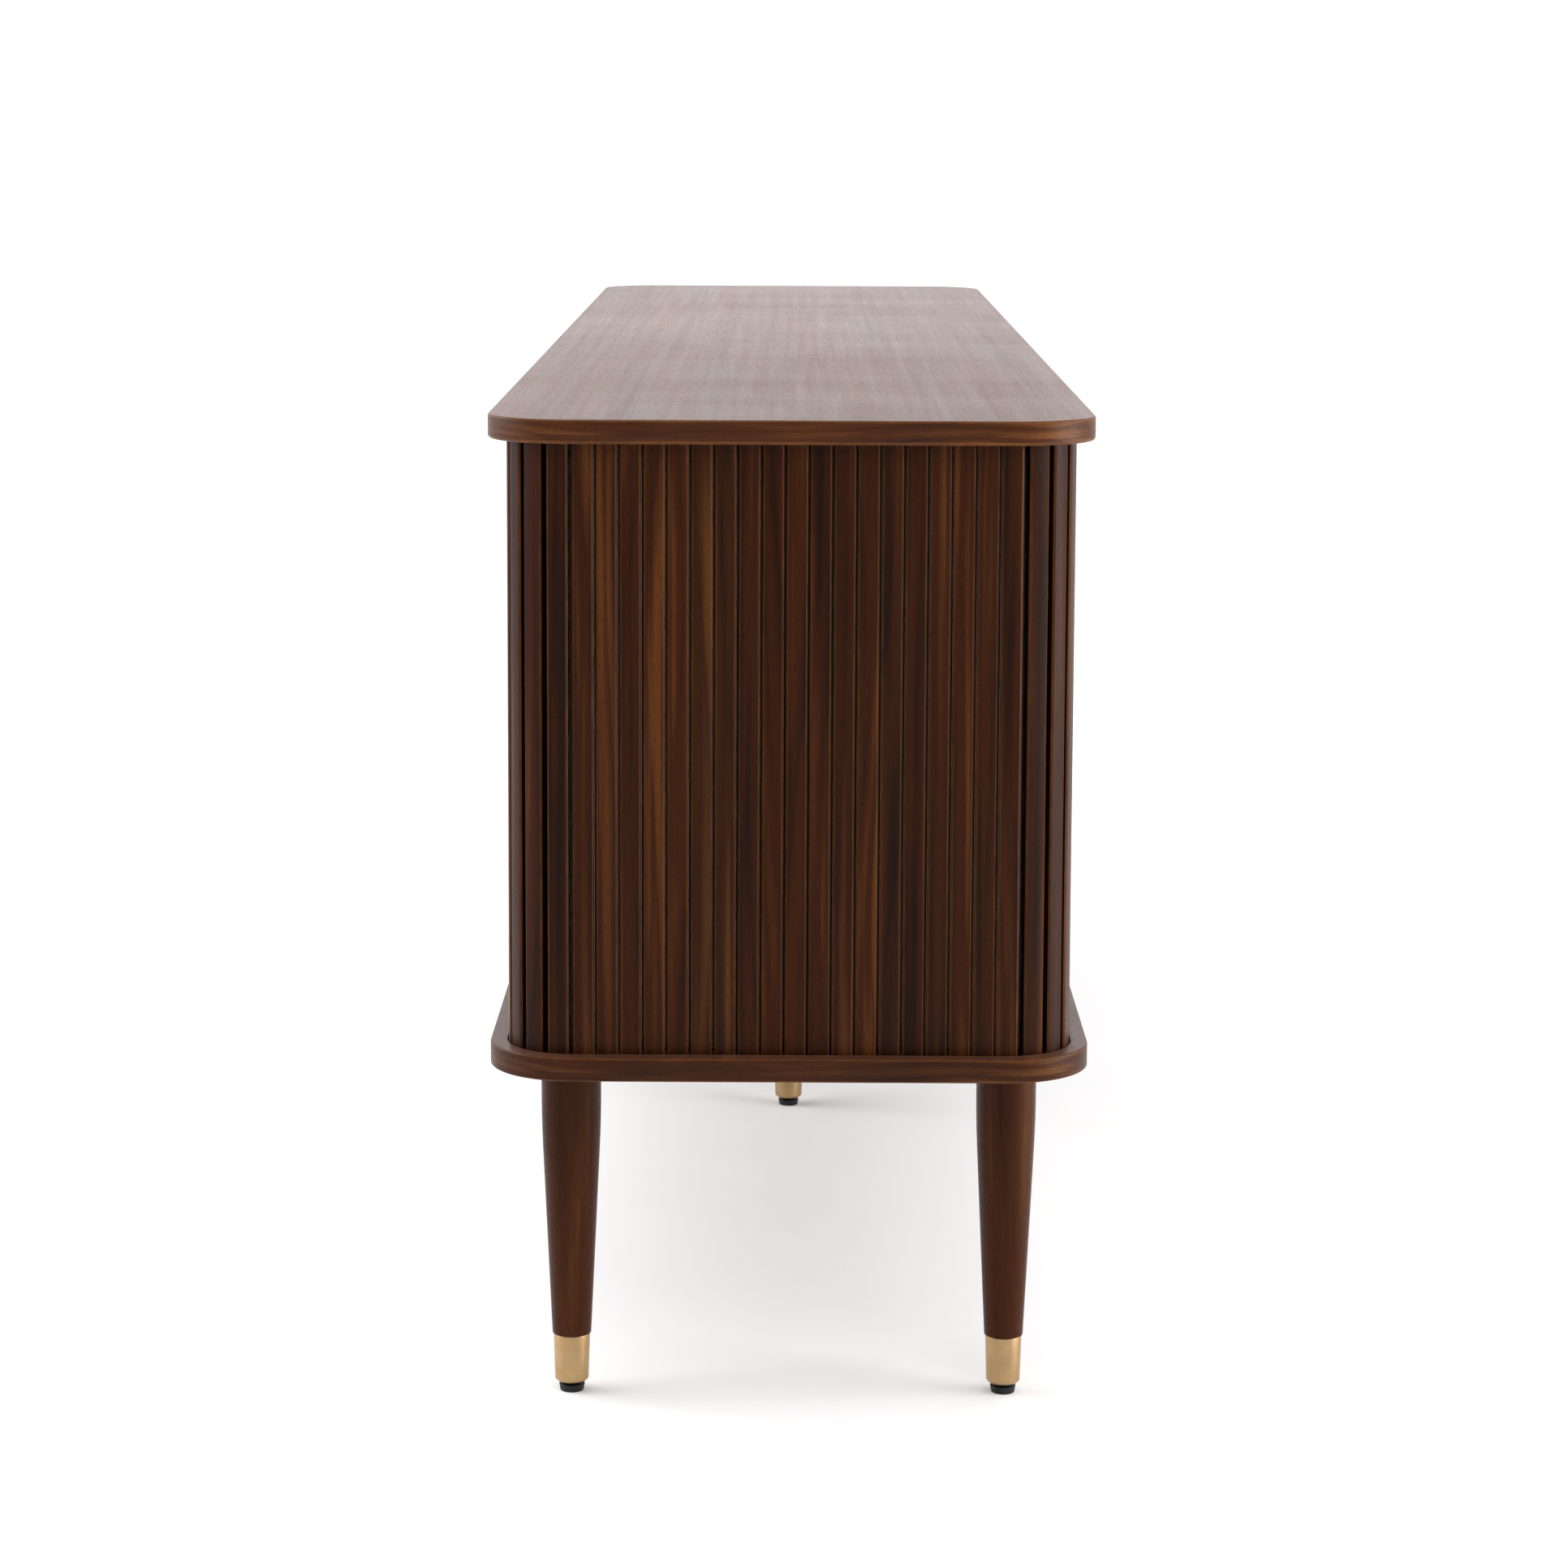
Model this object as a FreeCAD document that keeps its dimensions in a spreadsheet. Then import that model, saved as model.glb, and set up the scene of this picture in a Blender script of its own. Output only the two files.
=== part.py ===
"""Tambour sideboard: a walnut carcase between two boards, wrapped in slatted doors, on five turned legs.

X is the length, -Y the front, Z up. The origin is on the floor, under the middle. Millimetres.
"""
import FreeCAD, Part
import Sketcher
import math
import os

SIZES = {
    # boards
    "board_length": 2000, "board_depth": 450, "board_thickness": 18, "corner_radius": 64,
    "arris_radius": 1.5, "under_arris_radius": 2.5,
    "floor_to_base": 275, "inside_height": 455,
    # tambour and its groove
    "overhang": 14, "slat_pitch": 17.45, "slat_width": 16, "slat_thickness": 8, "slat_chamfer": 1.5,
    "groove_depth": 8, "groove_clearance": 1.2, "groove_end_clearance": 1,
    "canvas_thickness": 0.8, "canvas_end_gap": 3, "canvas_joint_gap": 1,
    "stile_width": 41.1, "meeting_gap": 0.4, "lead_slat_count": 2, "open_margin": 10,
    "stop_half_width": 3, "stop_clearance": 0.5,
    # pull
    "pull_width": 12, "pull_projection": 9, "pull_height": 170, "pull_inset": 8, "pull_round": 2.5,
    "pull_tongue_width": 6, "pull_tongue_depth": 4, "pull_tongue_shoulder": 6,
    # carcase
    "side_thickness": 16, "divider_thickness": 18, "front_gap": 10, "back_gap": 6, "back_thickness": 6,
    "outer_back_gap": 1.4, "outer_back_thickness": 3, "outer_back_tongue": 4, "outer_back_overlap": 8.5,
    # shelves
    "shelf_thickness": 16, "shelf_height": 210, "shelf_side_gap": 1, "shelf_front_inset": 17,
    "pin_diameter": 5, "pin_depth": 8, "pin_lug": 8, "pin_lug_height": 5, "pin_inset": 41.2,
    "pin_row_pitch": 32, "pin_rows_below": 2, "pin_rows_above": 2,
    # fixings
    "fixing_pitch": 93, "screw_diameter": 4.5, "screw_length": 40, "screw_head": 8.5, "screw_head_height": 3,
    "dowel_diameter": 8, "dowel_length": 30, "dowel_in_top": 10,
    "back_screw_diameter": 3.5, "back_screw_length": 26, "back_screw_head": 7, "back_screw_head_height": 1.5,
    "back_screw_inset": 60,
    # legs
    "leg_end_inset": 120, "leg_side_inset": 57.5, "leg_top_radius": 23, "leg_bottom_radius": 15,
    "leg_shoulder_drop": 37, "leg_swell_radius": 940, "leg_end_round": 1,
    "spigot_radius": 11.5, "stem_radius": 4, "stem_clearance": 0.05, "stem_length": 32, "stem_bore_spare": 12,
    "ferrule_top": 46, "ferrule_bottom": 8, "ferrule_top_radius": 14.1, "ferrule_bottom_radius": 13.1,
    "ferrule_chamfer": 2, "ferrule_floor": 3,
    "foot_radius": 10, "foot_base_radius": 9, "foot_height": 5.5, "foot_neck_radius": 6.5, "foot_round": 0.5,
    "bolt_radius": 4, "bolt_in_leg": 36, "insert_radius": 6, "insert_length": 14,
}

doc = FreeCAD.newDocument("tambour_sideboard")
sheet = doc.addObject("Spreadsheet::Sheet", "sizes")
for row, (alias, number) in enumerate(SIZES.items(), start=1):
    sheet.set(f"A{row}", alias)
    sheet.set(f"B{row}", str(number))
    sheet.setAlias(f"B{row}", alias)
doc.recompute()

nodes = []  # the sub-parts, in the order in which they are made


def size(name):
    return f"sizes.{name}"


def number(expression):
    """An expression's value now, for starting geometry and for shapes made by code."""
    found = sheet.evalExpression(str(expression))
    return float(getattr(found, "Value", found))


# Expressions that several pieces share
HALF_LENGTH = f"({size('board_length')} / 2)"
HALF_DEPTH = f"({size('board_depth')} / 2)"
BASE_TOP = f"({size('floor_to_base')} + {size('board_thickness')})"
TOP_UNDERSIDE = f"({BASE_TOP} + {size('inside_height')})"

# The track is the line of the slats' backs, where the canvas is glued: a rectangle with rounded corners.
TRACK_INSET = f"({size('overhang')} + {size('slat_thickness')})"
TRACK_X = f"({HALF_LENGTH} - {TRACK_INSET})"
TRACK_Y = f"({HALF_DEPTH} - {TRACK_INSET})"
TRACK_RADIUS = f"({size('corner_radius')} - {TRACK_INSET})"
STRAIGHT_X = f"({HALF_LENGTH} - {size('corner_radius')})"
STRAIGHT_Y = f"({HALF_DEPTH} - {size('corner_radius')})"
CANVAS_INNER_Y = f"({TRACK_Y} - {size('canvas_thickness')})"

# Lengths along one door's track, from the middle of the front to the middle of the back
CORNER_RUN = f"(pi / 2 * {TRACK_RADIUS})"
REAR_STRAIGHT_START = f"({STRAIGHT_X} + 2 * {CORNER_RUN} + 2 * {STRAIGHT_Y})"
HALF_TRACK = f"({REAR_STRAIGHT_START} + {STRAIGHT_X})"
SLAT_GAP = f"({size('slat_pitch')} - {size('slat_width')})"
FIRST_SLAT = f"({size('meeting_gap')} + {size('stile_width')} + {SLAT_GAP} / 2)"
LEAD_END = f"({FIRST_SLAT} + {size('lead_slat_count')} * {size('slat_pitch')})"
TRAVEL = f"({STRAIGHT_X} - {LEAD_END} - {size('open_margin')})"
STOP_ROOM = f"({size('stop_half_width')} + {size('stop_clearance')})"
SLAT_COUNT = f"floor(({HALF_TRACK} - {STOP_ROOM} - {TRAVEL} - {FIRST_SLAT}) / {size('slat_pitch')})"
FRONT_SLAT_COUNT = f"floor(({STRAIGHT_X} - {FIRST_SLAT}) / {size('slat_pitch')})"
TAIL_END = f"({FIRST_SLAT} + {SLAT_COUNT} * {size('slat_pitch')})"
TAIL_X = f"({STRAIGHT_X} - ({TAIL_END} - {REAR_STRAIGHT_START}))"

# Carcase planes
PANEL_FRONT = f"(-({CANVAS_INNER_Y} - {size('front_gap')}))"
BACK_REAR = f"({CANVAS_INNER_Y} - {size('back_gap')})"
BACK_FRONT = f"({BACK_REAR} - {size('back_thickness')})"
PANEL_MIDDLE_Y = f"(({PANEL_FRONT} + {BACK_FRONT}) / 2)"
SIDE_MIDDLE_X = f"({STRAIGHT_X} - {size('side_thickness')} / 2)"
OUTER_BACK_FRONT = (
    f"({HALF_DEPTH} - {size('overhang')} + {size('groove_clearance')} + {size('outer_back_gap')})"
)
FIXING_STEPS = (-1.5, -0.5, 0.5, 1.5)
UPRIGHTS = {
    "centre_divider": ("0", size("divider_thickness")),
    "left_inner_side": (f"(-{SIDE_MIDDLE_X})", size("side_thickness")),
    "right_inner_side": (SIDE_MIDDLE_X, size("side_thickness")),
}
BACK_SCREW_HEIGHTS = (
    f"({BASE_TOP} + {size('back_screw_inset')})",
    f"(({BASE_TOP} + {TOP_UNDERSIDE}) / 2)",
    f"({TOP_UNDERSIDE} - {size('back_screw_inset')})",
)

# Leg places: four near the corners and one under the middle
LEG_X = f"({HALF_LENGTH} - {size('leg_end_inset')})"
LEG_Y = f"({HALF_DEPTH} - {size('leg_side_inset')})"
LEGS = {
    "front_left": (f"-{LEG_X}", f"-{LEG_Y}"),
    "front_right": (LEG_X, f"-{LEG_Y}"),
    "rear_left": (f"-{LEG_X}", LEG_Y),
    "rear_right": (LEG_X, LEG_Y),
    "centre": ("0", "0"),
}


def bind(item, **expressions):
    """Ties properties to expressions; a double underscore in a key stands for a dot."""
    for name, expression in expressions.items():
        item.setExpression(name.replace("__", "."), str(expression))
    return item


def place(item, x="0", y="0", z="0"):
    return bind(item, Placement__Base__x=x, Placement__Base__y=y, Placement__Base__z=z)


def as_node(item, label):
    item.Label = label
    nodes.append(item)
    return item


# ---- sketches and PartDesign bodies ----

def new_body(label):
    return as_node(doc.addObject("PartDesign::Body", label), label)


def new_sketch(body, name, plane="XY_Plane", height=None):
    sketch = body.newObject("Sketcher::SketchObject", name)
    origin_plane = next(part for part in body.Origin.OriginFeatures if part.Role == plane)
    sketch.AttachmentSupport = [(origin_plane, "")]
    sketch.MapMode = "FlatFace"
    if height:
        sketch.setExpression("AttachmentOffset.Base.z", height)
    return sketch


def dimension(sketch, name, expression, *constraint):
    """Adds a named dimension whose value is the expression's."""
    index = sketch.addConstraint(Sketcher.Constraint(*constraint, number(expression)))
    sketch.renameConstraint(index, name)
    sketch.setExpression(f"Constraints.{name}", expression)


def rounded_rectangle(sketch, name, half_x, half_y, radius):
    """A rectangle about the origin with four equal round corners."""
    hx, hy, r = number(half_x), number(half_y), number(radius)
    corners = [(hx - r, r - hy), (hx - r, hy - r), (r - hx, hy - r), (r - hx, r - hy)]
    first = sketch.GeometryCount
    for turn, (cx, cy) in enumerate(corners):
        start = (turn - 1) * math.pi / 2
        before = corners[turn - 1]
        out = FreeCAD.Vector(math.cos(start), math.sin(start)) * r
        sketch.addGeometry(Part.LineSegment(FreeCAD.Vector(*before) + out, FreeCAD.Vector(cx, cy) + out))
        circle = Part.Circle(FreeCAD.Vector(cx, cy), FreeCAD.Vector(0, 0, 1), r)
        sketch.addGeometry(Part.ArcOfCircle(circle, start, start + math.pi / 2))
    sides = [first + 2 * turn for turn in range(4)]
    arcs = [side + 1 for side in sides]
    for turn in range(4):
        sketch.addConstraint(Sketcher.Constraint("Tangent", sides[turn], 2, arcs[turn], 1))
        sketch.addConstraint(Sketcher.Constraint("Tangent", arcs[turn], 2, sides[(turn + 1) % 4], 1))
        direction = "Horizontal" if turn % 2 == 0 else "Vertical"
        sketch.addConstraint(Sketcher.Constraint(direction, sides[turn]))
    for turn in range(1, 4):
        sketch.addConstraint(Sketcher.Constraint("Equal", arcs[0], arcs[turn]))
    sketch.addConstraint(Sketcher.Constraint("Symmetric", sides[0], 1, sides[2], 1, -1, 1))
    dimension(sketch, name + "_radius", radius, "Radius", arcs[0])
    dimension(sketch, name + "_half_x", half_x, "DistanceX", -1, 1, sides[1], 1)
    dimension(sketch, name + "_half_y", half_y, "DistanceY", -1, 1, sides[2], 1)


def tangent_spot(start, end, radius):
    """Where a circle that leaves start straight down, bending inward, lets a line go on to end."""
    centre = FreeCAD.Vector(start.x - radius, start.y)
    to_end = end - centre
    angle = math.atan2(to_end.y, to_end.x) + math.acos(radius / to_end.Length)
    return centre, angle, centre + FreeCAD.Vector(math.cos(angle), math.sin(angle)) * radius


def outline(sketch, points, swell_at=None, swell_radius=None):
    """A closed polygon of (x, y) expressions, each corner held from the origin; 0 lies on the axis.

    At the corner swell_at, the outline runs from a straight-down line into an arc that ends in the next line.
    """
    spots = [FreeCAD.Vector(number(x), number(y)) for x, y in points]
    arc = len(spots)
    for index, spot in enumerate(spots):
        following = spots[(index + 1) % len(spots)]
        if index == swell_at:
            centre, angle, spot = tangent_spot(spot, following, number(swell_radius))
        sketch.addGeometry(Part.LineSegment(spot, following))
    if swell_at is not None:
        circle = Part.Circle(centre, FreeCAD.Vector(0, 0, 1), number(swell_radius))
        sketch.addGeometry(Part.ArcOfCircle(circle, angle, 0))
        sketch.addConstraint(Sketcher.Constraint("Tangent", swell_at - 1, 2, arc, 2))
        sketch.addConstraint(Sketcher.Constraint("Tangent", arc, 1, swell_at, 1))
        sketch.addConstraint(Sketcher.Constraint("Vertical", swell_at - 1))
        dimension(sketch, "swell_radius", swell_radius, "Radius", arc)
    for index in range(len(points)):
        following = (index + 1) % len(points)
        if following != swell_at:
            sketch.addConstraint(Sketcher.Constraint("Coincident", index, 2, following, 1))
    for index, (x, y) in enumerate(points):
        line, end = (index - 1, 2) if index == swell_at else (index, 1)
        for letter, expression, axis in (("X", x, -2), ("Y", y, -1)):
            if expression == "0":
                sketch.addConstraint(Sketcher.Constraint("PointOnObject", line, end, axis))
            elif not (index == swell_at and letter == "X"):
                name = f"{letter.lower()}_{index}"
                dimension(sketch, name, expression, f"Distance{letter}", -1, 1, line, end)


def circles(sketch, spots, radius):
    """Equal circles at the (x, y) expressions."""
    for index, (x, y) in enumerate(spots):
        centre = FreeCAD.Vector(number(x), number(y))
        circle = sketch.addGeometry(Part.Circle(centre, FreeCAD.Vector(0, 0, 1), number(radius)))
        dimension(sketch, f"radius_{index}", radius, "Radius", circle)
        for letter, expression, axis in (("X", x, -2), ("Y", y, -1)):
            if expression == "0":
                sketch.addConstraint(Sketcher.Constraint("PointOnObject", circle, 3, axis))
            else:
                name = f"{letter.lower()}_{index}"
                dimension(sketch, name, expression, f"Distance{letter}", -1, 1, circle, 3)


def pad(body, sketch, length):
    feature = body.newObject("PartDesign::Pad", sketch.Name + "_pad")
    feature.Profile = sketch
    feature.setExpression("Length", length)
    doc.recompute()
    return feature


def pocket(body, sketch, depth, upwards):
    """Cuts from the sketch into the body, and makes sure that something was cut."""
    before = body.Shape.Volume
    feature = body.newObject("PartDesign::Pocket", sketch.Name + "_pocket")
    feature.Profile = sketch
    feature.Reversed = upwards
    feature.setExpression("Length", depth)
    doc.recompute()
    if not body.Shape.Volume < before - 1:
        raise RuntimeError(f"{feature.Name} cuts nothing")
    return feature


def round_edges(body, name, radius, wanted):
    """Fillets the edges of the body so far that wanted(edge) picks."""
    base = body.Tip
    picked = [f"Edge{i}" for i, edge in enumerate(base.Shape.Edges, start=1) if wanted(edge)]
    if not picked:
        raise RuntimeError(f"{name} finds no edge")
    feature = body.newObject("PartDesign::Fillet", name)
    feature.Base = (base, picked)
    feature.setExpression("Radius", radius)
    doc.recompute()
    return feature


def turned(body, points, swell_at=None, swell_radius=None):
    """Revolves an outline of (radius, height) expressions about the body's Z axis."""
    sketch = new_sketch(body, body.Label + "_profile", "XZ_Plane")
    outline(sketch, points, swell_at, swell_radius)
    feature = body.newObject("PartDesign::Revolution", body.Label + "_turned")
    feature.Profile = sketch
    feature.ReferenceAxis = (sketch, ["V_Axis"])
    feature.Angle = 360
    doc.recompute()
    return feature


# ---- boards ----

def lies_on(edge, height):
    box = edge.BoundBox
    return abs(box.ZMin - height) < 1e-4 and abs(box.ZMax - height) < 1e-4


def is_circle(edge, height, radius):
    curve = edge.Curve
    return lies_on(edge, height) and hasattr(curve, "Radius") and abs(curve.Radius - radius) < 0.01


def on_outline(edge, height):
    """True for an edge of the board's outer outline at this height."""
    middle = edge.valueAt((edge.FirstParameter + edge.LastParameter) / 2)
    inside_x, inside_y = number(STRAIGHT_X), number(STRAIGHT_Y)
    radius = number(size("corner_radius"))
    over_x, over_y = max(abs(middle.x) - inside_x, 0), max(abs(middle.y) - inside_y, 0)
    return lies_on(edge, height) and abs(math.hypot(over_x, over_y) - radius) < 0.01


def board(label, height, groove_up):
    """A board with the tambour's ring groove and the outer back panel's slot in one face."""
    body = new_body(label)
    place(body, z=height)
    plan = new_sketch(body, label + "_plan")
    rounded_rectangle(plan, "edge", HALF_LENGTH, HALF_DEPTH, size("corner_radius"))
    pad(body, plan, size("board_thickness"))
    face = size("board_thickness") if groove_up else None
    ring = new_sketch(body, label + "_groove", height=face)
    outer_inset = f"({size('overhang')} - {size('groove_clearance')})"
    inner_inset = f"({TRACK_INSET} + {size('canvas_thickness')} + {size('groove_clearance')})"
    for name, inset in (("outer", outer_inset), ("inner", inner_inset)):
        rounded_rectangle(ring, name, f"({HALF_LENGTH} - {inset})", f"({HALF_DEPTH} - {inset})",
                          f"({size('corner_radius')} - {inset})")
    pocket(body, ring, size("groove_depth"), not groove_up)
    slot = new_sketch(body, label + "_back_slot", height=face)
    half, near = f"({TAIL_X} + {size('outer_back_overlap')})", OUTER_BACK_FRONT
    far = f"({near} + {size('outer_back_thickness')})"
    outline(slot, [(f"-{half}", near), (half, near), (half, far), (f"-{half}", far)])
    pocket(body, slot, size("outer_back_tongue"), not groove_up)
    return body


def upright_fixings():
    return [(x, f"({PANEL_MIDDLE_Y} + {step} * {size('fixing_pitch')})")
            for x, _ in UPRIGHTS.values() for step in FIXING_STEPS]


def make_base_board():
    body = board("base_board", size("floor_to_base"), groove_up=True)
    for name, spots, radius, depth in (
        ("insert_holes", LEGS.values(), size("insert_radius"), size("insert_length")),
        ("screw_holes", upright_fixings(), f"{size('screw_diameter')} / 2", size("board_thickness")),
        ("screw_sinks", upright_fixings(), f"{size('screw_head')} / 2", size("screw_head_height")),
    ):
        sketch = new_sketch(body, name)
        circles(sketch, list(spots), radius)
        pocket(body, sketch, depth, upwards=True)
    thickness = number(size("board_thickness"))
    round_edges(body, "base_arris", size("arris_radius"),
                lambda edge: on_outline(edge, 0) or on_outline(edge, thickness))


def make_top_board():
    body = board("top_board", TOP_UNDERSIDE, groove_up=False)
    sketch = new_sketch(body, "dowel_holes")
    circles(sketch, upright_fixings(), f"{size('dowel_diameter')} / 2")
    pocket(body, sketch, size("dowel_in_top"), upwards=True)
    thickness = number(size("board_thickness"))
    round_edges(body, "upper_arris", size("arris_radius"), lambda edge: on_outline(edge, thickness))
    round_edges(body, "under_arris", size("under_arris_radius"), lambda edge: on_outline(edge, 0))


# ---- carcase ----

def box(name, x, y, z, length, width, height):
    """A block from its lowest corner and its three sizes, all expressions."""
    block = doc.addObject("Part::Box", name)
    bind(block, Length=length, Width=width, Height=height)
    return place(block, x, y, z)


def rod(name, x, y, z, radius, length, axis=(0, 0, 1)):
    """A cylinder that starts at a point and runs along axis."""
    cylinder = doc.addObject("Part::Cylinder", name)
    bind(cylinder, Radius=radius, Height=length)
    cylinder.Placement.Rotation = FreeCAD.Rotation(FreeCAD.Vector(0, 0, 1), FreeCAD.Vector(*axis))
    return place(cylinder, x, y, z)


def group(label, members):
    """Equal loose pieces kept as one sub-part."""
    compound = doc.addObject("Part::Compound", label)
    compound.Links = members
    return as_node(compound, label)


def drilled(label, blank, drills):
    holes = doc.addObject("Part::Compound", label + "_holes")
    holes.Links = drills
    cut = doc.addObject("Part::Cut", label)
    cut.Base, cut.Tool = blank, holes
    return as_node(cut, label)


def joined(name, pieces):
    fuse = doc.addObject("Part::MultiFuse", name)
    fuse.Shapes = pieces
    return fuse


def pin_rows():
    """Heights of the pins' axes, the used row at step 0."""
    middle = f"({BASE_TOP} + {size('shelf_height')} - {size('pin_lug_height')} / 2)"
    below, above = int(number(size("pin_rows_below"))), int(number(size("pin_rows_above")))
    return {step: f"({middle} + {step} * {size('pin_row_pitch')})" for step in range(-below, above + 1)}


PIN_COLUMNS = [f"({PANEL_FRONT} + {size('pin_inset')})", f"({BACK_FRONT} - {size('pin_inset')})"]
# Each face that carries shelf pins: (upright, direction the pins stand out along X)
PIN_FACES = [("left_inner_side", 1), ("centre_divider", -1), ("centre_divider", 1), ("right_inner_side", -1)]


def pin_face_x(upright, direction):
    x, thickness = UPRIGHTS[upright]
    return f"({x} + {direction} * {thickness} / 2)"


def make_upright(label):
    x, thickness = UPRIGHTS[label]
    blank = box(label + "_blank", f"({x} - {thickness} / 2)", PANEL_FRONT, BASE_TOP,
                thickness, f"({BACK_FRONT} - {PANEL_FRONT})", size("inside_height"))
    drills = []
    screw_depth = f"({size('screw_length')} + {size('screw_head_height')} - {size('board_thickness')})"
    dowel_depth = f"({size('dowel_length')} - {size('dowel_in_top')})"
    for step in FIXING_STEPS:
        y = f"({PANEL_MIDDLE_Y} + {step} * {size('fixing_pitch')})"
        drills.append(rod(label + "_pilot", x, y, BASE_TOP, f"{size('screw_diameter')} / 2", screw_depth))
        drills.append(rod(label + "_dowel_hole", x, y, TOP_UNDERSIDE, f"{size('dowel_diameter')} / 2",
                          dowel_depth, (0, 0, -1)))
    back_depth = f"({size('back_screw_length')} - {size('back_thickness')})"
    for height in BACK_SCREW_HEIGHTS:
        drills.append(rod(label + "_back_pilot", x, BACK_FRONT, height,
                          f"{size('back_screw_diameter')} / 2", back_depth, (0, -1, 0)))
    for upright, direction in PIN_FACES:
        if upright == label:
            for y in PIN_COLUMNS:
                for height in pin_rows().values():
                    drills.append(rod(label + "_pin_hole", pin_face_x(label, direction), y, height,
                                      f"{size('pin_diameter')} / 2", size("pin_depth"), (-direction, 0, 0)))
    drilled(label, blank, drills)


def make_backs():
    blank = box("inner_back_blank", f"(-{STRAIGHT_X})", BACK_FRONT, BASE_TOP,
                f"(2 * {STRAIGHT_X})", size("back_thickness"), size("inside_height"))
    holes = [rod("inner_back_hole", x, BACK_REAR, height, f"{size('back_screw_diameter')} / 2",
                 size("back_thickness"), (0, -1, 0))
             for x, _ in UPRIGHTS.values() for height in BACK_SCREW_HEIGHTS]
    drilled("inner_back_panel", blank, holes)
    half = f"({TAIL_X} + {size('outer_back_overlap')})"
    panel = box("outer_back_panel", f"(-{half})", OUTER_BACK_FRONT,
                f"({BASE_TOP} - {size('outer_back_tongue')})", f"(2 * {half})", size("outer_back_thickness"),
                f"({size('inside_height')} + 2 * {size('outer_back_tongue')})")
    as_node(panel, "outer_back_panel")


def make_shelves():
    inner_x = f"({SIDE_MIDDLE_X} - {size('side_thickness')} / 2 - {size('shelf_side_gap')})"
    divider_x = f"({size('divider_thickness')} / 2 + {size('shelf_side_gap')})"
    front = f"({PANEL_FRONT} + {size('shelf_front_inset')})"
    for label, low_x in (("left_shelf", f"(-{inner_x})"), ("right_shelf", divider_x)):
        shelf = box(label, low_x, front, f"({BASE_TOP} + {size('shelf_height')})",
                    f"({inner_x} - {divider_x})", f"({BACK_FRONT} - {size('shelf_side_gap')} - {front})",
                    size("shelf_thickness"))
        as_node(shelf, label)


def make_shelf_pins():
    """A round stem in the upright and a square lug with a flat top under the shelf."""
    pins, lug, height = [], size("pin_lug"), pin_rows()[0]
    for upright, direction in PIN_FACES:
        face = pin_face_x(upright, direction)
        low_x = face if direction > 0 else f"({face} - {lug})"
        for y in PIN_COLUMNS:
            stem = rod("pin_stem", face, y, height, f"{size('pin_diameter')} / 2", size("pin_depth"),
                       (-direction, 0, 0))
            head = box("pin_head", low_x, f"({y} - {lug} / 2)", f"({height} - {size('pin_lug_height')} / 2)",
                       lug, lug, size("pin_lug_height"))
            pins.append(joined("shelf_pin", [stem, head]))
    group("shelf_pins", pins)


def make_fixings():
    base_screws, dowels, back_screws = [], [], []
    sink = size("screw_head_height")
    for x, y in upright_fixings():
        head = rod("screw_head", x, y, size("floor_to_base"), f"{size('screw_head')} / 2", sink)
        shank = rod("screw_shank", x, y, f"({size('floor_to_base')} + {sink})",
                    f"{size('screw_diameter')} / 2", size("screw_length"))
        base_screws.append(joined("base_screw", [head, shank]))
        dowels.append(rod("top_dowel", x, y, f"({TOP_UNDERSIDE} + {size('dowel_in_top')})",
                          f"{size('dowel_diameter')} / 2", size("dowel_length"), (0, 0, -1)))
    for x, _ in UPRIGHTS.values():
        for height in BACK_SCREW_HEIGHTS:
            head = rod("back_screw_head", x, BACK_REAR, height, f"{size('back_screw_head')} / 2",
                       size("back_screw_head_height"), (0, 1, 0))
            shank = rod("back_screw_shank", x, BACK_REAR, height, f"{size('back_screw_diameter')} / 2",
                        size("back_screw_length"), (0, -1, 0))
            back_screws.append(joined("back_screw", [head, shank]))
    group("base_screws", base_screws)
    group("top_dowels", dowels)
    group("back_screws", back_screws)


# ---- legs ----

STEM_HOLE = f"({size('stem_radius')} + {size('stem_clearance')})"
SPIGOT_END = f"({size('ferrule_bottom')} + {size('ferrule_floor')})"
STEM_BORE_TOP = f"({size('ferrule_bottom')} + {size('stem_length')} + {size('stem_bore_spare')})"
BOLT_BOTTOM = f"({size('floor_to_base')} - {size('bolt_in_leg')})"


def make_leg(place_name, x, y):
    """Turned leg, straight and then tapering: a bore for the bolt above, a bored spigot for the stem below."""
    body = new_body(place_name + "_leg")
    place(body, x, y)
    shoulder = f"({size('floor_to_base')} - {size('leg_shoulder_drop')})"
    turned(body, [
        (size("bolt_radius"), size("floor_to_base")), (size("leg_top_radius"), size("floor_to_base")),
        (size("leg_top_radius"), shoulder), (size("leg_bottom_radius"), size("ferrule_top")),
        (size("spigot_radius"), size("ferrule_top")), (size("spigot_radius"), SPIGOT_END),
        (STEM_HOLE, SPIGOT_END), (STEM_HOLE, STEM_BORE_TOP),
        ("0", STEM_BORE_TOP), ("0", BOLT_BOTTOM), (size("bolt_radius"), BOLT_BOTTOM),
    ], swell_at=2, swell_radius=size("leg_swell_radius"))
    end_height, end_radius = number(size("ferrule_top")), number(size("leg_bottom_radius"))
    round_edges(body, place_name + "_leg_end", size("leg_end_round"),
                lambda edge: is_circle(edge, end_height, end_radius))


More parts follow.
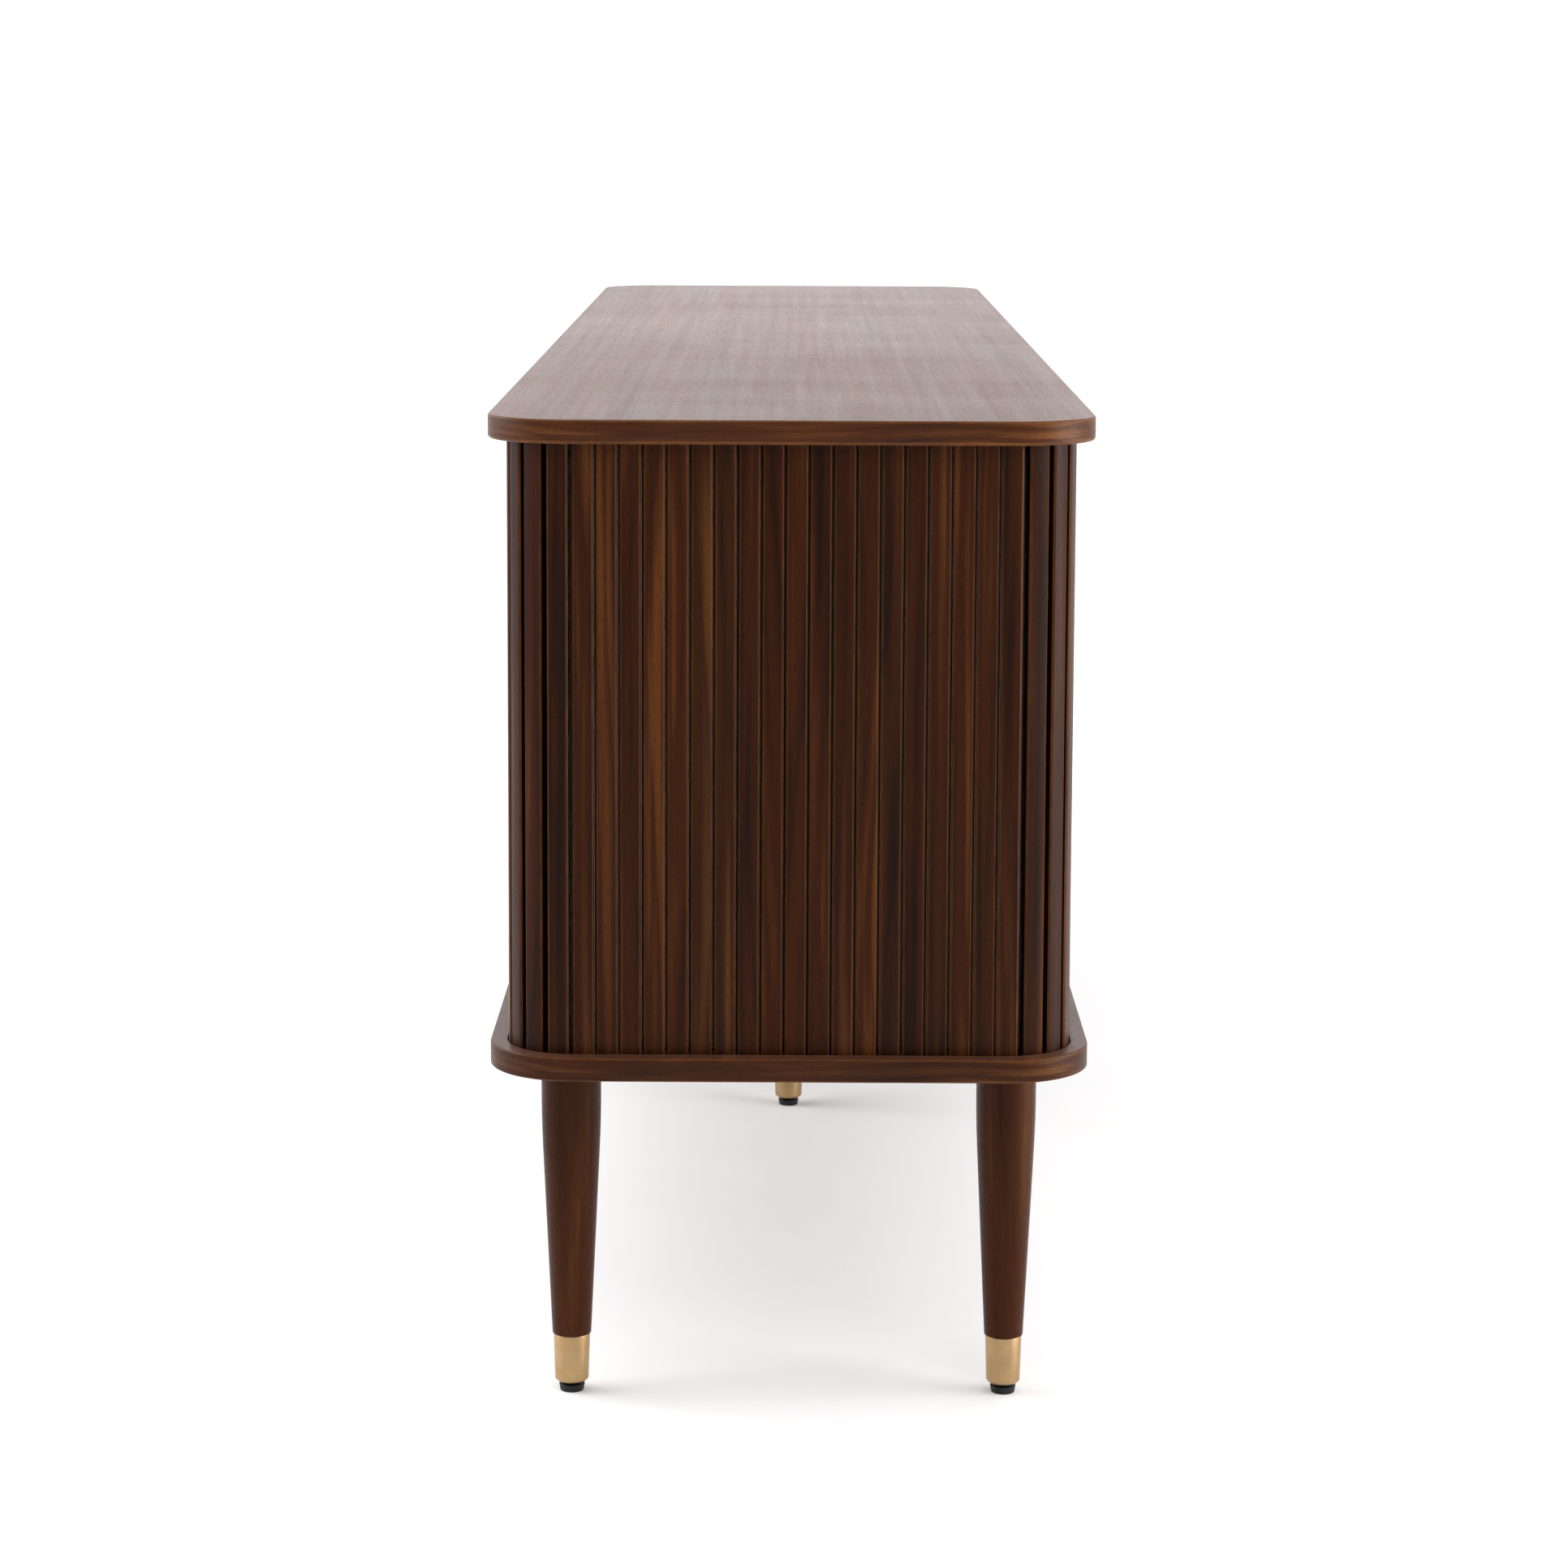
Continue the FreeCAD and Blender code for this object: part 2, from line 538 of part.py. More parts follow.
def make_ferrule(place_name, x, y):
    """Tapered cup on the leg's spigot, with a hole in its floor for the foot's stem."""
    body = new_body(place_name + "_ferrule")
    place(body, x, y)
    low, chamfer = size("ferrule_bottom"), size("ferrule_chamfer")
    turned(body, [
        (size("spigot_radius"), size("ferrule_top")), (size("ferrule_top_radius"), size("ferrule_top")),
        (size("ferrule_bottom_radius"), f"({low} + {chamfer})"),
        (f"({size('ferrule_bottom_radius')} - {chamfer})", low), (STEM_HOLE, low),
        (STEM_HOLE, SPIGOT_END), (size("spigot_radius"), SPIGOT_END),
    ])


def make_foot(place_name, x, y):
    """Round pad, narrower neck against the ferrule's floor, and a stem up into the leg."""
    body = new_body(place_name + "_foot")
    place(body, x, y)
    neck_top = size("ferrule_bottom")
    stem_top = f"({neck_top} + {size('stem_length')})"
    turned(body, [
        ("0", "0"), (f"({size('foot_base_radius')} - {size('foot_round')})", "0"),
        (size("foot_base_radius"), size("foot_round")), (size("foot_radius"), size("foot_height")),
        (size("foot_neck_radius"), f"({size('foot_height')} + {size('foot_round')})"),
        (size("foot_neck_radius"), neck_top), (size("stem_radius"), neck_top),
        (size("stem_radius"), stem_top), ("0", stem_top),
    ])


def make_leg_fixings():
    """The hanger bolt runs from the leg's bore to the top of the threaded insert in the base."""
    bolts, inserts = [], []
    for x, y in LEGS.values():
        bolts.append(rod("leg_bolt", x, y, BOLT_BOTTOM, size("bolt_radius"),
                         f"({size('bolt_in_leg')} + {size('insert_length')})"))
        sleeve = rod("insert_sleeve", x, y, size("floor_to_base"), size("insert_radius"), size("insert_length"))
        thread = rod("insert_thread", x, y, size("floor_to_base"), size("bolt_radius"), size("insert_length"))
        insert = doc.addObject("Part::Cut", "leg_insert")
        insert.Base, insert.Tool = sleeve, thread
        inserts.append(insert)
    group("leg_bolts", bolts)
    group("leg_inserts", inserts)


# ---- tambour ----

def track_point(run, inward=0.0):
    """The point of the right-hand track at this run, moved inward, with the outward direction there."""
    straight_x, straight_y, radius = number(STRAIGHT_X), number(STRAIGHT_Y), number(TRACK_RADIUS)
    corner = number(CORNER_RUN)
    if run <= straight_x:
        base, angle = (run, -straight_y), -math.pi / 2
    elif run <= straight_x + corner:
        base, angle = (straight_x, -straight_y), (run - straight_x) / radius - math.pi / 2
    elif run <= straight_x + corner + 2 * straight_y:
        base, angle = (straight_x, run - straight_x - corner - straight_y), 0.0
    elif run <= number(REAR_STRAIGHT_START):
        base, angle = (straight_x, straight_y), (run - straight_x - corner - 2 * straight_y) / radius
    else:
        base, angle = (straight_x - (run - number(REAR_STRAIGHT_START)), straight_y), math.pi / 2
    outward = FreeCAD.Vector(math.cos(angle), math.sin(angle), 0)
    return FreeCAD.Vector(base[0], base[1], 0) + outward * (radius - inward), outward


SLAT_BOTTOM = f"({BASE_TOP} - {size('groove_depth')} + {size('groove_end_clearance')})"
SLAT_HEIGHT = f"({size('inside_height')} + 2 * ({size('groove_depth')} - {size('groove_end_clearance')}))"


def slat(run):
    """One slat, its back tangent to the track at the middle, with its two outer corners chamfered."""
    middle, outward = track_point(run)
    along = FreeCAD.Vector(-outward.y, outward.x, 0)
    half, thick = number(size("slat_width")) / 2, number(size("slat_thickness"))
    chamfer = number(size("slat_chamfer"))
    profile = [(-half, 0), (half, 0), (half, thick - chamfer), (half - chamfer, thick),
               (chamfer - half, thick), (-half, thick - chamfer)]
    corners = [middle + along * across + outward * out for across, out in profile]
    for corner in corners:
        corner.z = number(SLAT_BOTTOM)
    face = Part.Face(Part.makePolygon(corners + corners[:1]))
    return face.extrude(FreeCAD.Vector(0, 0, number(SLAT_HEIGHT)))


def slats(first, last):
    """The slats numbered first to last - 1, counted from the lead stile."""
    start, pitch = number(FIRST_SLAT), number(size("slat_pitch"))
    return Part.makeCompound([slat(start + (index + 0.5) * pitch) for index in range(first, last)])


def canvas(start, end):
    """The cloth behind the slats, from one run to another along the track."""
    thickness = number(size("canvas_thickness"))
    straight_x, corner = number(STRAIGHT_X), number(CORNER_RUN)
    rear = number(REAR_STRAIGHT_START)
    bends = [straight_x, straight_x + corner, rear - corner, rear]
    stops = [start] + [run for run in bends if start < run < end] + [end]

    def line(inward):
        edges = []
        for low, high in zip(stops, stops[1:]):
            points = [track_point(run, inward)[0] for run in (low, (low + high) / 2, high)]
            curved = bends[0] <= low < bends[1] or bends[2] <= low < bends[3]
            edges.append(Part.Arc(*points).toShape() if curved else Part.makeLine(points[0], points[2]))
        return edges

    outer, inner = line(0.0), line(thickness)
    ends = [Part.makeLine(track_point(run)[0], track_point(run, thickness)[0]) for run in (start, end)]
    face = Part.Face(Part.Wire(Part.__sortEdges__(outer + inner + ends)))
    gap = number(size("canvas_end_gap"))
    face.translate(FreeCAD.Vector(0, 0, number(BASE_TOP) + gap))
    return face.extrude(FreeCAD.Vector(0, 0, number(size("inside_height")) - 2 * gap))


def both_sides(label, shape):
    """A right-hand piece whose shape follows the track, and its mirror image on the left."""
    mirrored = shape.mirror(FreeCAD.Vector(0, 0, 0), FreeCAD.Vector(1, 0, 0))
    for side, side_shape in (("right", shape), ("left", mirrored)):
        feature = doc.addObject("Part::Feature", f"{side}_{label}")
        feature.Shape = side_shape
        feature.Placement = FreeCAD.Placement()
        as_node(feature, f"{side}_{label}")


def make_tambour():
    lead = int(number(size("lead_slat_count")))
    front, count = int(number(FRONT_SLAT_COUNT)), int(number(SLAT_COUNT))
    start, pitch = number(FIRST_SLAT), number(size("slat_pitch"))
    split, gap = number(size("canvas_joint_gap")) / 2, number(SLAT_GAP) / 2
    lead_end, front_end = start + lead * pitch, start + front * pitch
    both_sides("lead_slats", slats(0, lead))
    both_sides("front_slats", slats(lead, front))
    both_sides("end_slats", slats(front, count))
    both_sides("lead_canvas", canvas(number(size("meeting_gap")) + split, lead_end - split))
    both_sides("front_canvas", canvas(lead_end + split, front_end - split))
    both_sides("end_canvas", canvas(front_end + split, start + count * pitch - gap))


SLAT_FACE_Y = f"({HALF_DEPTH} - {size('overhang')})"
PULL_BOTTOM = f"(({BASE_TOP} + {TOP_UNDERSIDE}) / 2 - {size('pull_height')} / 2)"
TONGUE_BOTTOM = f"({PULL_BOTTOM} + {size('pull_tongue_shoulder')})"
TONGUE_HEIGHT = f"({size('pull_height')} - 2 * {size('pull_tongue_shoulder')})"


def make_stile_and_pull(side, sign):
    """The door's wide first slat, with a mortise for the tongue of its pull."""
    def across(distance):
        return f"({sign} * ({size('meeting_gap')} + {distance}))"

    stile = new_body(f"{side}_lead_stile")
    place(stile, z=SLAT_BOTTOM)
    plan = new_sketch(stile, f"{side}_stile_plan")
    chamfer, wide = size("slat_chamfer"), size("stile_width")
    face, back = f"(-{SLAT_FACE_Y})", f"(-{TRACK_Y})"
    outline(plan, [
        (across("0"), back), (across(wide), back), (across(wide), f"({face} + {chamfer})"),
        (across(f"{wide} - {chamfer}"), face), (across(chamfer), face), (across("0"), f"({face} + {chamfer})"),
    ])
    pad(stile, plan, SLAT_HEIGHT)
    mortise = new_sketch(stile, f"{side}_stile_mortise", height=f"({TONGUE_BOTTOM} - {SLAT_BOTTOM})")
    middle = f"{size('pull_inset')} + {size('pull_width')} / 2"
    near, far = f"{middle} - {size('pull_tongue_width')} / 2", f"{middle} + {size('pull_tongue_width')} / 2"
    seat = f"({face} + {size('pull_tongue_depth')})"
    outline(mortise, [(across(near), face), (across(far), face), (across(far), seat), (across(near), seat)])
    pocket(stile, mortise, TONGUE_HEIGHT, upwards=True)

    pull = new_body(f"{side}_pull")
    place(pull, z=PULL_BOTTOM)
    bar = new_sketch(pull, f"{side}_pull_plan")
    front = f"({face} - {size('pull_projection')})"
    inner, outer = size("pull_inset"), f"{size('pull_inset')} + {size('pull_width')}"
    outline(bar, [(across(inner), front), (across(outer), front), (across(outer), face), (across(inner), face)])
    pad(pull, bar, size("pull_height"))
    front_y = number(front)

    def on_front(edge):
        return abs(edge.BoundBox.YMin - front_y) < 1e-4 and abs(edge.BoundBox.YMax - front_y) < 1e-4

    round_edges(pull, f"{side}_pull_round", size("pull_round"), on_front)
    tongue = new_sketch(pull, f"{side}_pull_tongue", height=size("pull_tongue_shoulder"))
    outline(tongue, [(across(near), face), (across(far), face), (across(far), seat), (across(near), seat)])
    pad(pull, tongue, TONGUE_HEIGHT)


def make_end_stops():
    """Blocks that fill the two grooves at the middle of the back, where the open doors' tails stop."""
    inner = f"({CANVAS_INNER_Y} - {size('groove_clearance')})"
    outer = f"({SLAT_FACE_Y} + {size('groove_clearance')})"
    half, depth = size("stop_half_width"), size("groove_depth")
    blocks = [box("end_stop", f"(-{half})", inner, z, f"(2 * {half})", f"({outer} - {inner})", depth)
              for z in (f"({BASE_TOP} - {depth})", TOP_UNDERSIDE)]
    group("end_stops", blocks)


# ---- the whole sideboard ----

make_base_board()
make_top_board()
for upright_name in UPRIGHTS:
    make_upright(upright_name)
make_backs()
make_shelves()
make_shelf_pins()
make_fixings()
for leg_name, (leg_x, leg_y) in LEGS.items():
    make_leg(leg_name, leg_x, leg_y)
    make_ferrule(leg_name, leg_x, leg_y)
    make_foot(leg_name, leg_x, leg_y)
make_leg_fixings()
make_tambour()
make_stile_and_pull("right", 1)
make_stile_and_pull("left", -1)
make_end_stops()
doc.recompute()

faults = [f"{item.Label}: {item.State}" for item in doc.Objects
          if "Invalid" in item.State or "Error" in item.State]
faults += [f"{item.Label}: no valid shape" for item in nodes
           if item.Shape.isNull() or not item.Shape.isValid() or not item.Shape.Solids]
if faults:
    raise RuntimeError("; ".join(faults))

os.makedirs("parts", exist_ok=True)
for item in nodes:
    item.Shape.exportStep(f"parts/{item.Label}.step")
print(f"{len(nodes)} sub-parts, travel {number(TRAVEL):.2f} mm, {number(SLAT_COUNT):.0f} slats in each door")
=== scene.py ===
"""Looks of the tambour sideboard: boards, slatted doors, carcase and legs, in a pale studio."""

import math

import bmesh
import bpy
from bpy.props import FloatProperty, FloatVectorProperty, IntProperty, PointerProperty
from mathutils import Matrix, Vector


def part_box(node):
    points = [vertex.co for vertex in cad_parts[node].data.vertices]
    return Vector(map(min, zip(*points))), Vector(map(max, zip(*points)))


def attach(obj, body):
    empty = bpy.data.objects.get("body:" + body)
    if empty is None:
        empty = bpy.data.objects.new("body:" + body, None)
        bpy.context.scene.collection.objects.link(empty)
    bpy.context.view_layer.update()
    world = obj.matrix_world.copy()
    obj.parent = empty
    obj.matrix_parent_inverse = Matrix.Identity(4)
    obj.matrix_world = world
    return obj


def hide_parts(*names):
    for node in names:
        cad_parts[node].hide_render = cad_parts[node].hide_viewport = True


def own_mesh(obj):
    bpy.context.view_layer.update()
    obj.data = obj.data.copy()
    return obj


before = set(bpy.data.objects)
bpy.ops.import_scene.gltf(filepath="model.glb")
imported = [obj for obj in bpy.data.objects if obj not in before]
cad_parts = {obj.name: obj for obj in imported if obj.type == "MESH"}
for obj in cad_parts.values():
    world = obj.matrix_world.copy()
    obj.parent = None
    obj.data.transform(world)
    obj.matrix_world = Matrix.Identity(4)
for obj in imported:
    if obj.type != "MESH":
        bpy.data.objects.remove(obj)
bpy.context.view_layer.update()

bl_info = {
    "name": "Tambour sideboard",
    "version": (1, 0, 0),
    "blender": (4, 5, 0),
    "location": "3D View > Sidebar > Sideboard",
    "description": "Builds the finish of a walnut tambour sideboard on its frame",
    "category": "Object",
}

CARCASE = "carcase"
LEGS = ("front_left", "front_right", "rear_left", "rear_right", "centre")
UPRIGHTS = ("left_inner_side", "centre_divider", "right_inner_side")
SIDES = {"right": 1, "left": -1}


# ---- sizes read from the frame ----

def box_size(node):
    low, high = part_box(node)
    return high - low


BOARD_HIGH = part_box("top_board")[1]
BASE_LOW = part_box("base_board")[0]
SLAT_LOW, SLAT_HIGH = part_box("right_lead_slats")
TAMBOUR_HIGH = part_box("right_end_slats")[1]
STILE_LOW, STILE_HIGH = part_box("right_lead_stile")
CANVAS_LOW, CANVAS_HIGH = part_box("right_lead_canvas")
SLAT_THICKNESS = SLAT_HIGH.y - SLAT_LOW.y
BASE_SCREW_LENGTH = 0.040
BACK_SCREW_HEAD = 0.0035
HEAD_CLEARANCE = 0.0002


# ---- what a user would change ----

class SideboardSizes(bpy.types.PropertyGroup):
    """Sizes of the sideboard's details; the outer sizes come from the frame."""
    corner_radius: FloatProperty(
        name="Corner radius", description="Radius of the boards' corners in plan",
        default=0.064, unit="LENGTH")
    arris: FloatProperty(
        name="Arris", description="Rounding of the boards' edges", default=0.0015, unit="LENGTH")
    under_arris: FloatProperty(
        name="Under arris", description="Rounding of the top board's lower edge",
        default=0.0025, unit="LENGTH")
    groove_depth: FloatProperty(
        name="Groove depth", description="Depth of the groove that the slats run in",
        default=0.008, unit="LENGTH")
    groove_clearance: FloatProperty(
        name="Groove clearance", description="Room each side of the slats in their groove",
        default=0.0012, unit="LENGTH")
    slat_pitch: FloatProperty(
        name="Slat pitch", description="Distance from slat to slat along the track",
        default=0.01745, unit="LENGTH")
    slat_width: FloatProperty(
        name="Slat width", description="Width of one slat", default=0.016, unit="LENGTH")
    slat_chamfer: FloatProperty(
        name="Slat chamfer", description="Chamfer on a slat's two outer corners",
        default=0.0015, unit="LENGTH")
    front_slats: IntProperty(
        name="Front slats", description="Slats of one door from its stile to the corner", default=51)
    door_slats: IntProperty(
        name="Door slats", description="All the slats of one door", default=82)
    lead_slats: IntProperty(
        name="Lead slats", description="Slats that stay flat behind the stile", default=2)
    leg_foot_radius: FloatProperty(
        name="Leg foot radius", description="Radius of the leg where the ferrule starts",
        default=0.015, unit="LENGTH")
    leg_straight: FloatProperty(
        name="Leg straight", description="Length of the leg's straight top part",
        default=0.037, unit="LENGTH")
    leg_swell: FloatProperty(
        name="Leg swell", description="Radius of the leg's long curve into its taper",
        default=0.94, unit="LENGTH")
    ferrule_lip: FloatProperty(
        name="Ferrule lip", description="Radius of the ferrule at its foot", default=0.0131, unit="LENGTH")
    thread_pitch: FloatProperty(
        name="Thread pitch", description="Pitch of the levelling foot's thread",
        default=0.00125, unit="LENGTH")
    fixing_pitch: FloatProperty(
        name="Fixing pitch", description="Distance between the base screws of one upright",
        default=0.093, unit="LENGTH")
    screw_head: FloatProperty(
        name="Screw head", description="Radius of a base screw's head", default=0.00425, unit="LENGTH")


def colour(name, description, default):
    return FloatVectorProperty(
        name=name, description=description, default=default, size=3, min=0, max=1, subtype="COLOR")


class SideboardFinishes(bpy.types.PropertyGroup):
    """Colours of the sideboard's finishes, linear."""
    walnut_dark: colour("Walnut dark", "Darkest streaks of the stained walnut", (0.013, 0.0042, 0.0018))
    walnut_mid: colour("Walnut", "Body colour of the stained walnut", (0.036, 0.0096, 0.0022))
    walnut_light: colour("Walnut light", "Palest streaks of the stained walnut", (0.098, 0.034, 0.0085))
    brass: colour("Brass", "Brushed brass of the ferrules", (0.44, 0.29, 0.145))
    plastic: colour("Plastic", "Moulded feet", (0.007, 0.007, 0.0075))
    steel: colour("Steel", "Screws and pins", (0.55, 0.55, 0.56))
    canvas: colour("Canvas", "Cloth behind the slats", (0.017, 0.013, 0.011))
    beech: colour("Beech", "Dowels and stops", (0.50, 0.33, 0.18))


def sizes():
    return bpy.context.scene.sideboard_sizes


def finishes():
    return bpy.context.scene.sideboard_finishes


# ---- node trees ----

class Tree:
    """Adds nodes to a tree: an input that is a socket is linked, and any other is set."""

    def __init__(self, tree):
        self.tree = tree

    def add(self, kind, inputs=None, **settings):
        node = self.tree.nodes.new(kind)
        for name, value in settings.items():
            setattr(node, name, value)
        for key, value in (inputs or {}).items():
            self.set(node, key, value)
        return node

    def set(self, node, key, value):
        socket = node.inputs[key]
        if isinstance(value, bpy.types.NodeSocket):
            self.tree.links.new(value, socket)
        else:
            socket.default_value = value

    def maths(self, operation, first, second=0.0):
        node = self.add("ShaderNodeMath", operation=operation)
        self.set(node, 0, first)
        self.set(node, 1, second)
        return node.outputs[0]

    def vector(self, operation, first, second=(0, 0, 0)):
        node = self.add("ShaderNodeVectorMath", operation=operation)
        self.set(node, 0, first)
        self.set(node, 1, second)
        return node.outputs[0]

    def noise(self, coords, scale, detail=2.0, roughness=0.5, distortion=0.0):
        node = self.add("ShaderNodeTexNoise", {
            "Vector": coords, "Scale": scale, "Detail": detail, "Roughness": roughness,
            "Distortion": distortion})
        return node.outputs["Fac"]

    def stretch(self, coords, scale):
        return self.add("ShaderNodeMapping", {"Vector": coords, "Scale": scale}).outputs[0]

    def ramp(self, factor, stops, interpolation="LINEAR"):
        node = self.add("ShaderNodeValToRGB", {"Fac": factor})
        ramp = node.color_ramp
        ramp.interpolation = interpolation
        while len(ramp.elements) < len(stops):
            ramp.elements.new(0.5)
        for element, (position, value) in zip(ramp.elements, stops):
            element.position = position
            element.color = (*value, 1) if isinstance(value, tuple) else (value, value, value, 1)
        return node.outputs[0]

    def mix(self, factor, first, second, blend_type="MIX"):
        node = self.add("ShaderNodeMix", data_type="RGBA", blend_type=blend_type)
        self.set(node, "Factor", factor)
        for index, value in ((6, first), (7, second)):
            self.set(node, index, (*value, 1) if isinstance(value, tuple) else value)
        return node.outputs[2]


def new_material(name):
    material = bpy.data.materials.new(name)
    material.use_nodes = True
    tree = Tree(material.node_tree)
    shader = next(node for node in material.node_tree.nodes if node.type == "BSDF_PRINCIPLED")
    return material, tree, shader


# ---- finishes ----

def shaded(share, colour_values):
    """A colour made darker or lighter by a share."""
    return tuple(share * part for part in colour_values)


def grain_coords(tree, along):
    """Coordinates with X along the grain, from the piece's own attribute or turned from object space."""
    if along is None:
        return tree.add("ShaderNodeAttribute", attribute_name="grain").outputs["Vector"]
    spot = tree.add("ShaderNodeTexCoord").outputs["Object"]
    parts = tree.add("ShaderNodeSeparateXYZ", {0: spot})
    order = {"X": (0, 1, 2), "Y": (1, 0, 2), "Z": (2, 0, 1)}[along]
    turned = {i: parts.outputs[axis] for i, axis in enumerate(order)}
    return tree.add("ShaderNodeCombineXYZ", turned).outputs[0]


def walnut(name, along=None, tone=1.0, roughness=0.4, gleam=0.5, bloom=0.0, contrast=1.0,
           figure_size=(2.6, 60), pore_bump=0.5, open_grain=0.0, bloom_spread=0.22):
    """Stained and lacquered walnut with ring lines, soft figure, dark streaks and short pores.

    Its edge attribute is above 0 where an edge is rubbed pale, and below 0 on the slats' sides in the gaps
    between slats, which are darkened as painted shade.
    """
    material, tree, shader = new_material(name)
    look = finishes()
    dark, mid, light = (shaded(tone, stain)
                        for stain in (look.walnut_dark, look.walnut_mid, look.walnut_light))
    coords = grain_coords(tree, along)
    long, wide = figure_size
    bend = tree.noise(tree.stretch(coords, (0.6 * long, 0.22 * wide, 0.22 * wide)), 1.0, 1, 0.4)
    across = tree.add("ShaderNodeSeparateXYZ", {0: coords}).outputs[1]
    ring_count = tree.maths("ADD", tree.maths("MULTIPLY", across, 1.3 * wide),
                            tree.maths("MULTIPLY", bend, 7.0))
    rings = tree.ramp(tree.maths("FRACT", ring_count),
                      ((0.0, 0.75), (0.3, 1.0), (0.72, 0.25), (0.84, 0.0), (1.0, 0.75)), "EASE")
    figure = tree.noise(tree.stretch(coords, (long, wide, 0.8 * wide)), 1.0, 2, 0.5, 0.25)
    streak = tree.noise(tree.stretch(coords, (1.2 * long, 4.2 * wide, 3.4 * wide)), 1.0, 2, 0.55, 0.15)
    fibre = tree.noise(tree.stretch(coords, (14, 1300, 1100)), 1.0, 2, 0.6)
    pores = tree.noise(tree.stretch(coords, (150, 2300, 2100)), 1.0, 1, 0.5)
    pores = tree.ramp(pores, ((0.62, 0.0), (0.70, 1.0)))
    blend = tree.maths("ADD", tree.maths("MULTIPLY", figure, 0.66), tree.maths("MULTIPLY", rings, 0.10))
    blend = tree.maths("ADD", blend, tree.maths("MULTIPLY", streak, 0.22))
    own = tree.add("ShaderNodeAttribute", attribute_name="tone").outputs["Fac"]
    lean = tree.ramp(own, ((0.0, 0.48), (0.08, 0.44), (0.30, 0.51), (0.5, 0.45), (0.72, 0.53), (1.0, 0.47)))
    spread = 0.075 / contrast
    base = tree.ramp(tree.maths("MULTIPLY", tree.maths("ADD", blend, lean), 0.5),
                     ((0.5 - spread, dark), (0.5, mid), (0.5 + spread, light)), "EASE")
    tint = tree.ramp(own, ((0.0, (1.0, 1.0, 1.0)), (0.15, (1.0, 0.78, 0.62)), (0.40, (0.92, 0.94, 0.92)),
                           (0.60, (1.2, 1.06, 0.76)), (0.85, (0.78, 0.72, 0.72)), (1.0, (1.1, 0.98, 0.86))))
    coloured = tree.mix(1.0, base, tint, "MULTIPLY")
    coloured = tree.mix(1.0, coloured, tree.ramp(fibre, ((0.3, 0.86), (0.7, 1.1))), "MULTIPLY")
    coloured = tree.mix(tree.maths("MULTIPLY", pores, 0.6), coloured, shaded(0.4, dark))
    worn = tree.add("ShaderNodeAttribute", attribute_name="worn").outputs["Fac"]
    scuff = tree.ramp(tree.noise(tree.stretch(coords, (60, 400, 400)), 1.0, 3), ((0.40, 0.3), (0.66, 0.6)))
    coloured = tree.mix(tree.maths("MULTIPLY", tree.maths("MAXIMUM", worn, 0.0), scuff), coloured,
                        shaded(1.1, light))
    # painted shade: faces marked below 0, the slats' sides in the gaps between slats, are mixed towards
    # near-black
    coloured = tree.mix(tree.maths("MAXIMUM", tree.maths("MULTIPLY", worn, -0.9), 0.0), coloured,
                        shaded(0.2, dark))
    tree.set(shader, "Base Color", coloured)
    gloss = tree.maths("ADD", tree.maths("MULTIPLY", streak, 0.16), roughness - 0.08)
    relief = tree.maths("SUBTRACT", tree.maths("MULTIPLY", fibre, 0.3), pores)
    if open_grain:
        cloud = tree.noise(tree.stretch(coords, (5, 3, 3)), 1.0, 3, 0.6)
        dashes = tree.noise(tree.stretch(coords, (34, 420, 400)), 1.0, 2, 0.6)
        dashes = tree.maths("MULTIPLY", tree.ramp(dashes, ((0.56, 0.0), (0.66, 1.0))),
                            tree.ramp(cloud, ((0.4, 0.1), (0.6, 1.0))))
        relief = tree.maths("SUBTRACT", relief, tree.maths("MULTIPLY", dashes, open_grain))
        gloss = tree.maths("ADD", gloss, tree.maths("MULTIPLY", cloud, 0.18))
    tree.set(shader, "Roughness", tree.maths("ADD", gloss, tree.maths("MULTIPLY", pores, 0.2)))
    bump = tree.add("ShaderNodeBump", {"Height": relief, "Strength": pore_bump, "Distance": 0.0001})
    tree.set(shader, "Normal", bump.outputs[0])
    shader.inputs["Specular IOR Level"].default_value = gleam
    shader.inputs["Sheen Weight"].default_value = bloom
    shader.inputs["Sheen Roughness"].default_value = bloom_spread
    shader.inputs["Sheen Tint"].default_value = (1.0, 0.80, 0.80, 1.0)
    return material


def beech(name):
    material, tree, shader = new_material(name)
    coords = grain_coords(tree, "Z")
    flecks = tree.noise(tree.stretch(coords, (60, 900, 900)), 1.0, 2)
    base = tuple(finishes().beech)
    shade = tree.ramp(flecks, ((0.35, shaded(0.72, base)), (0.6, base)))
    tree.set(shader, "Base Color", shade)
    tree.set(shader, "Roughness", tree.maths("ADD", tree.maths("MULTIPLY", flecks, 0.2), 0.45))
    return material


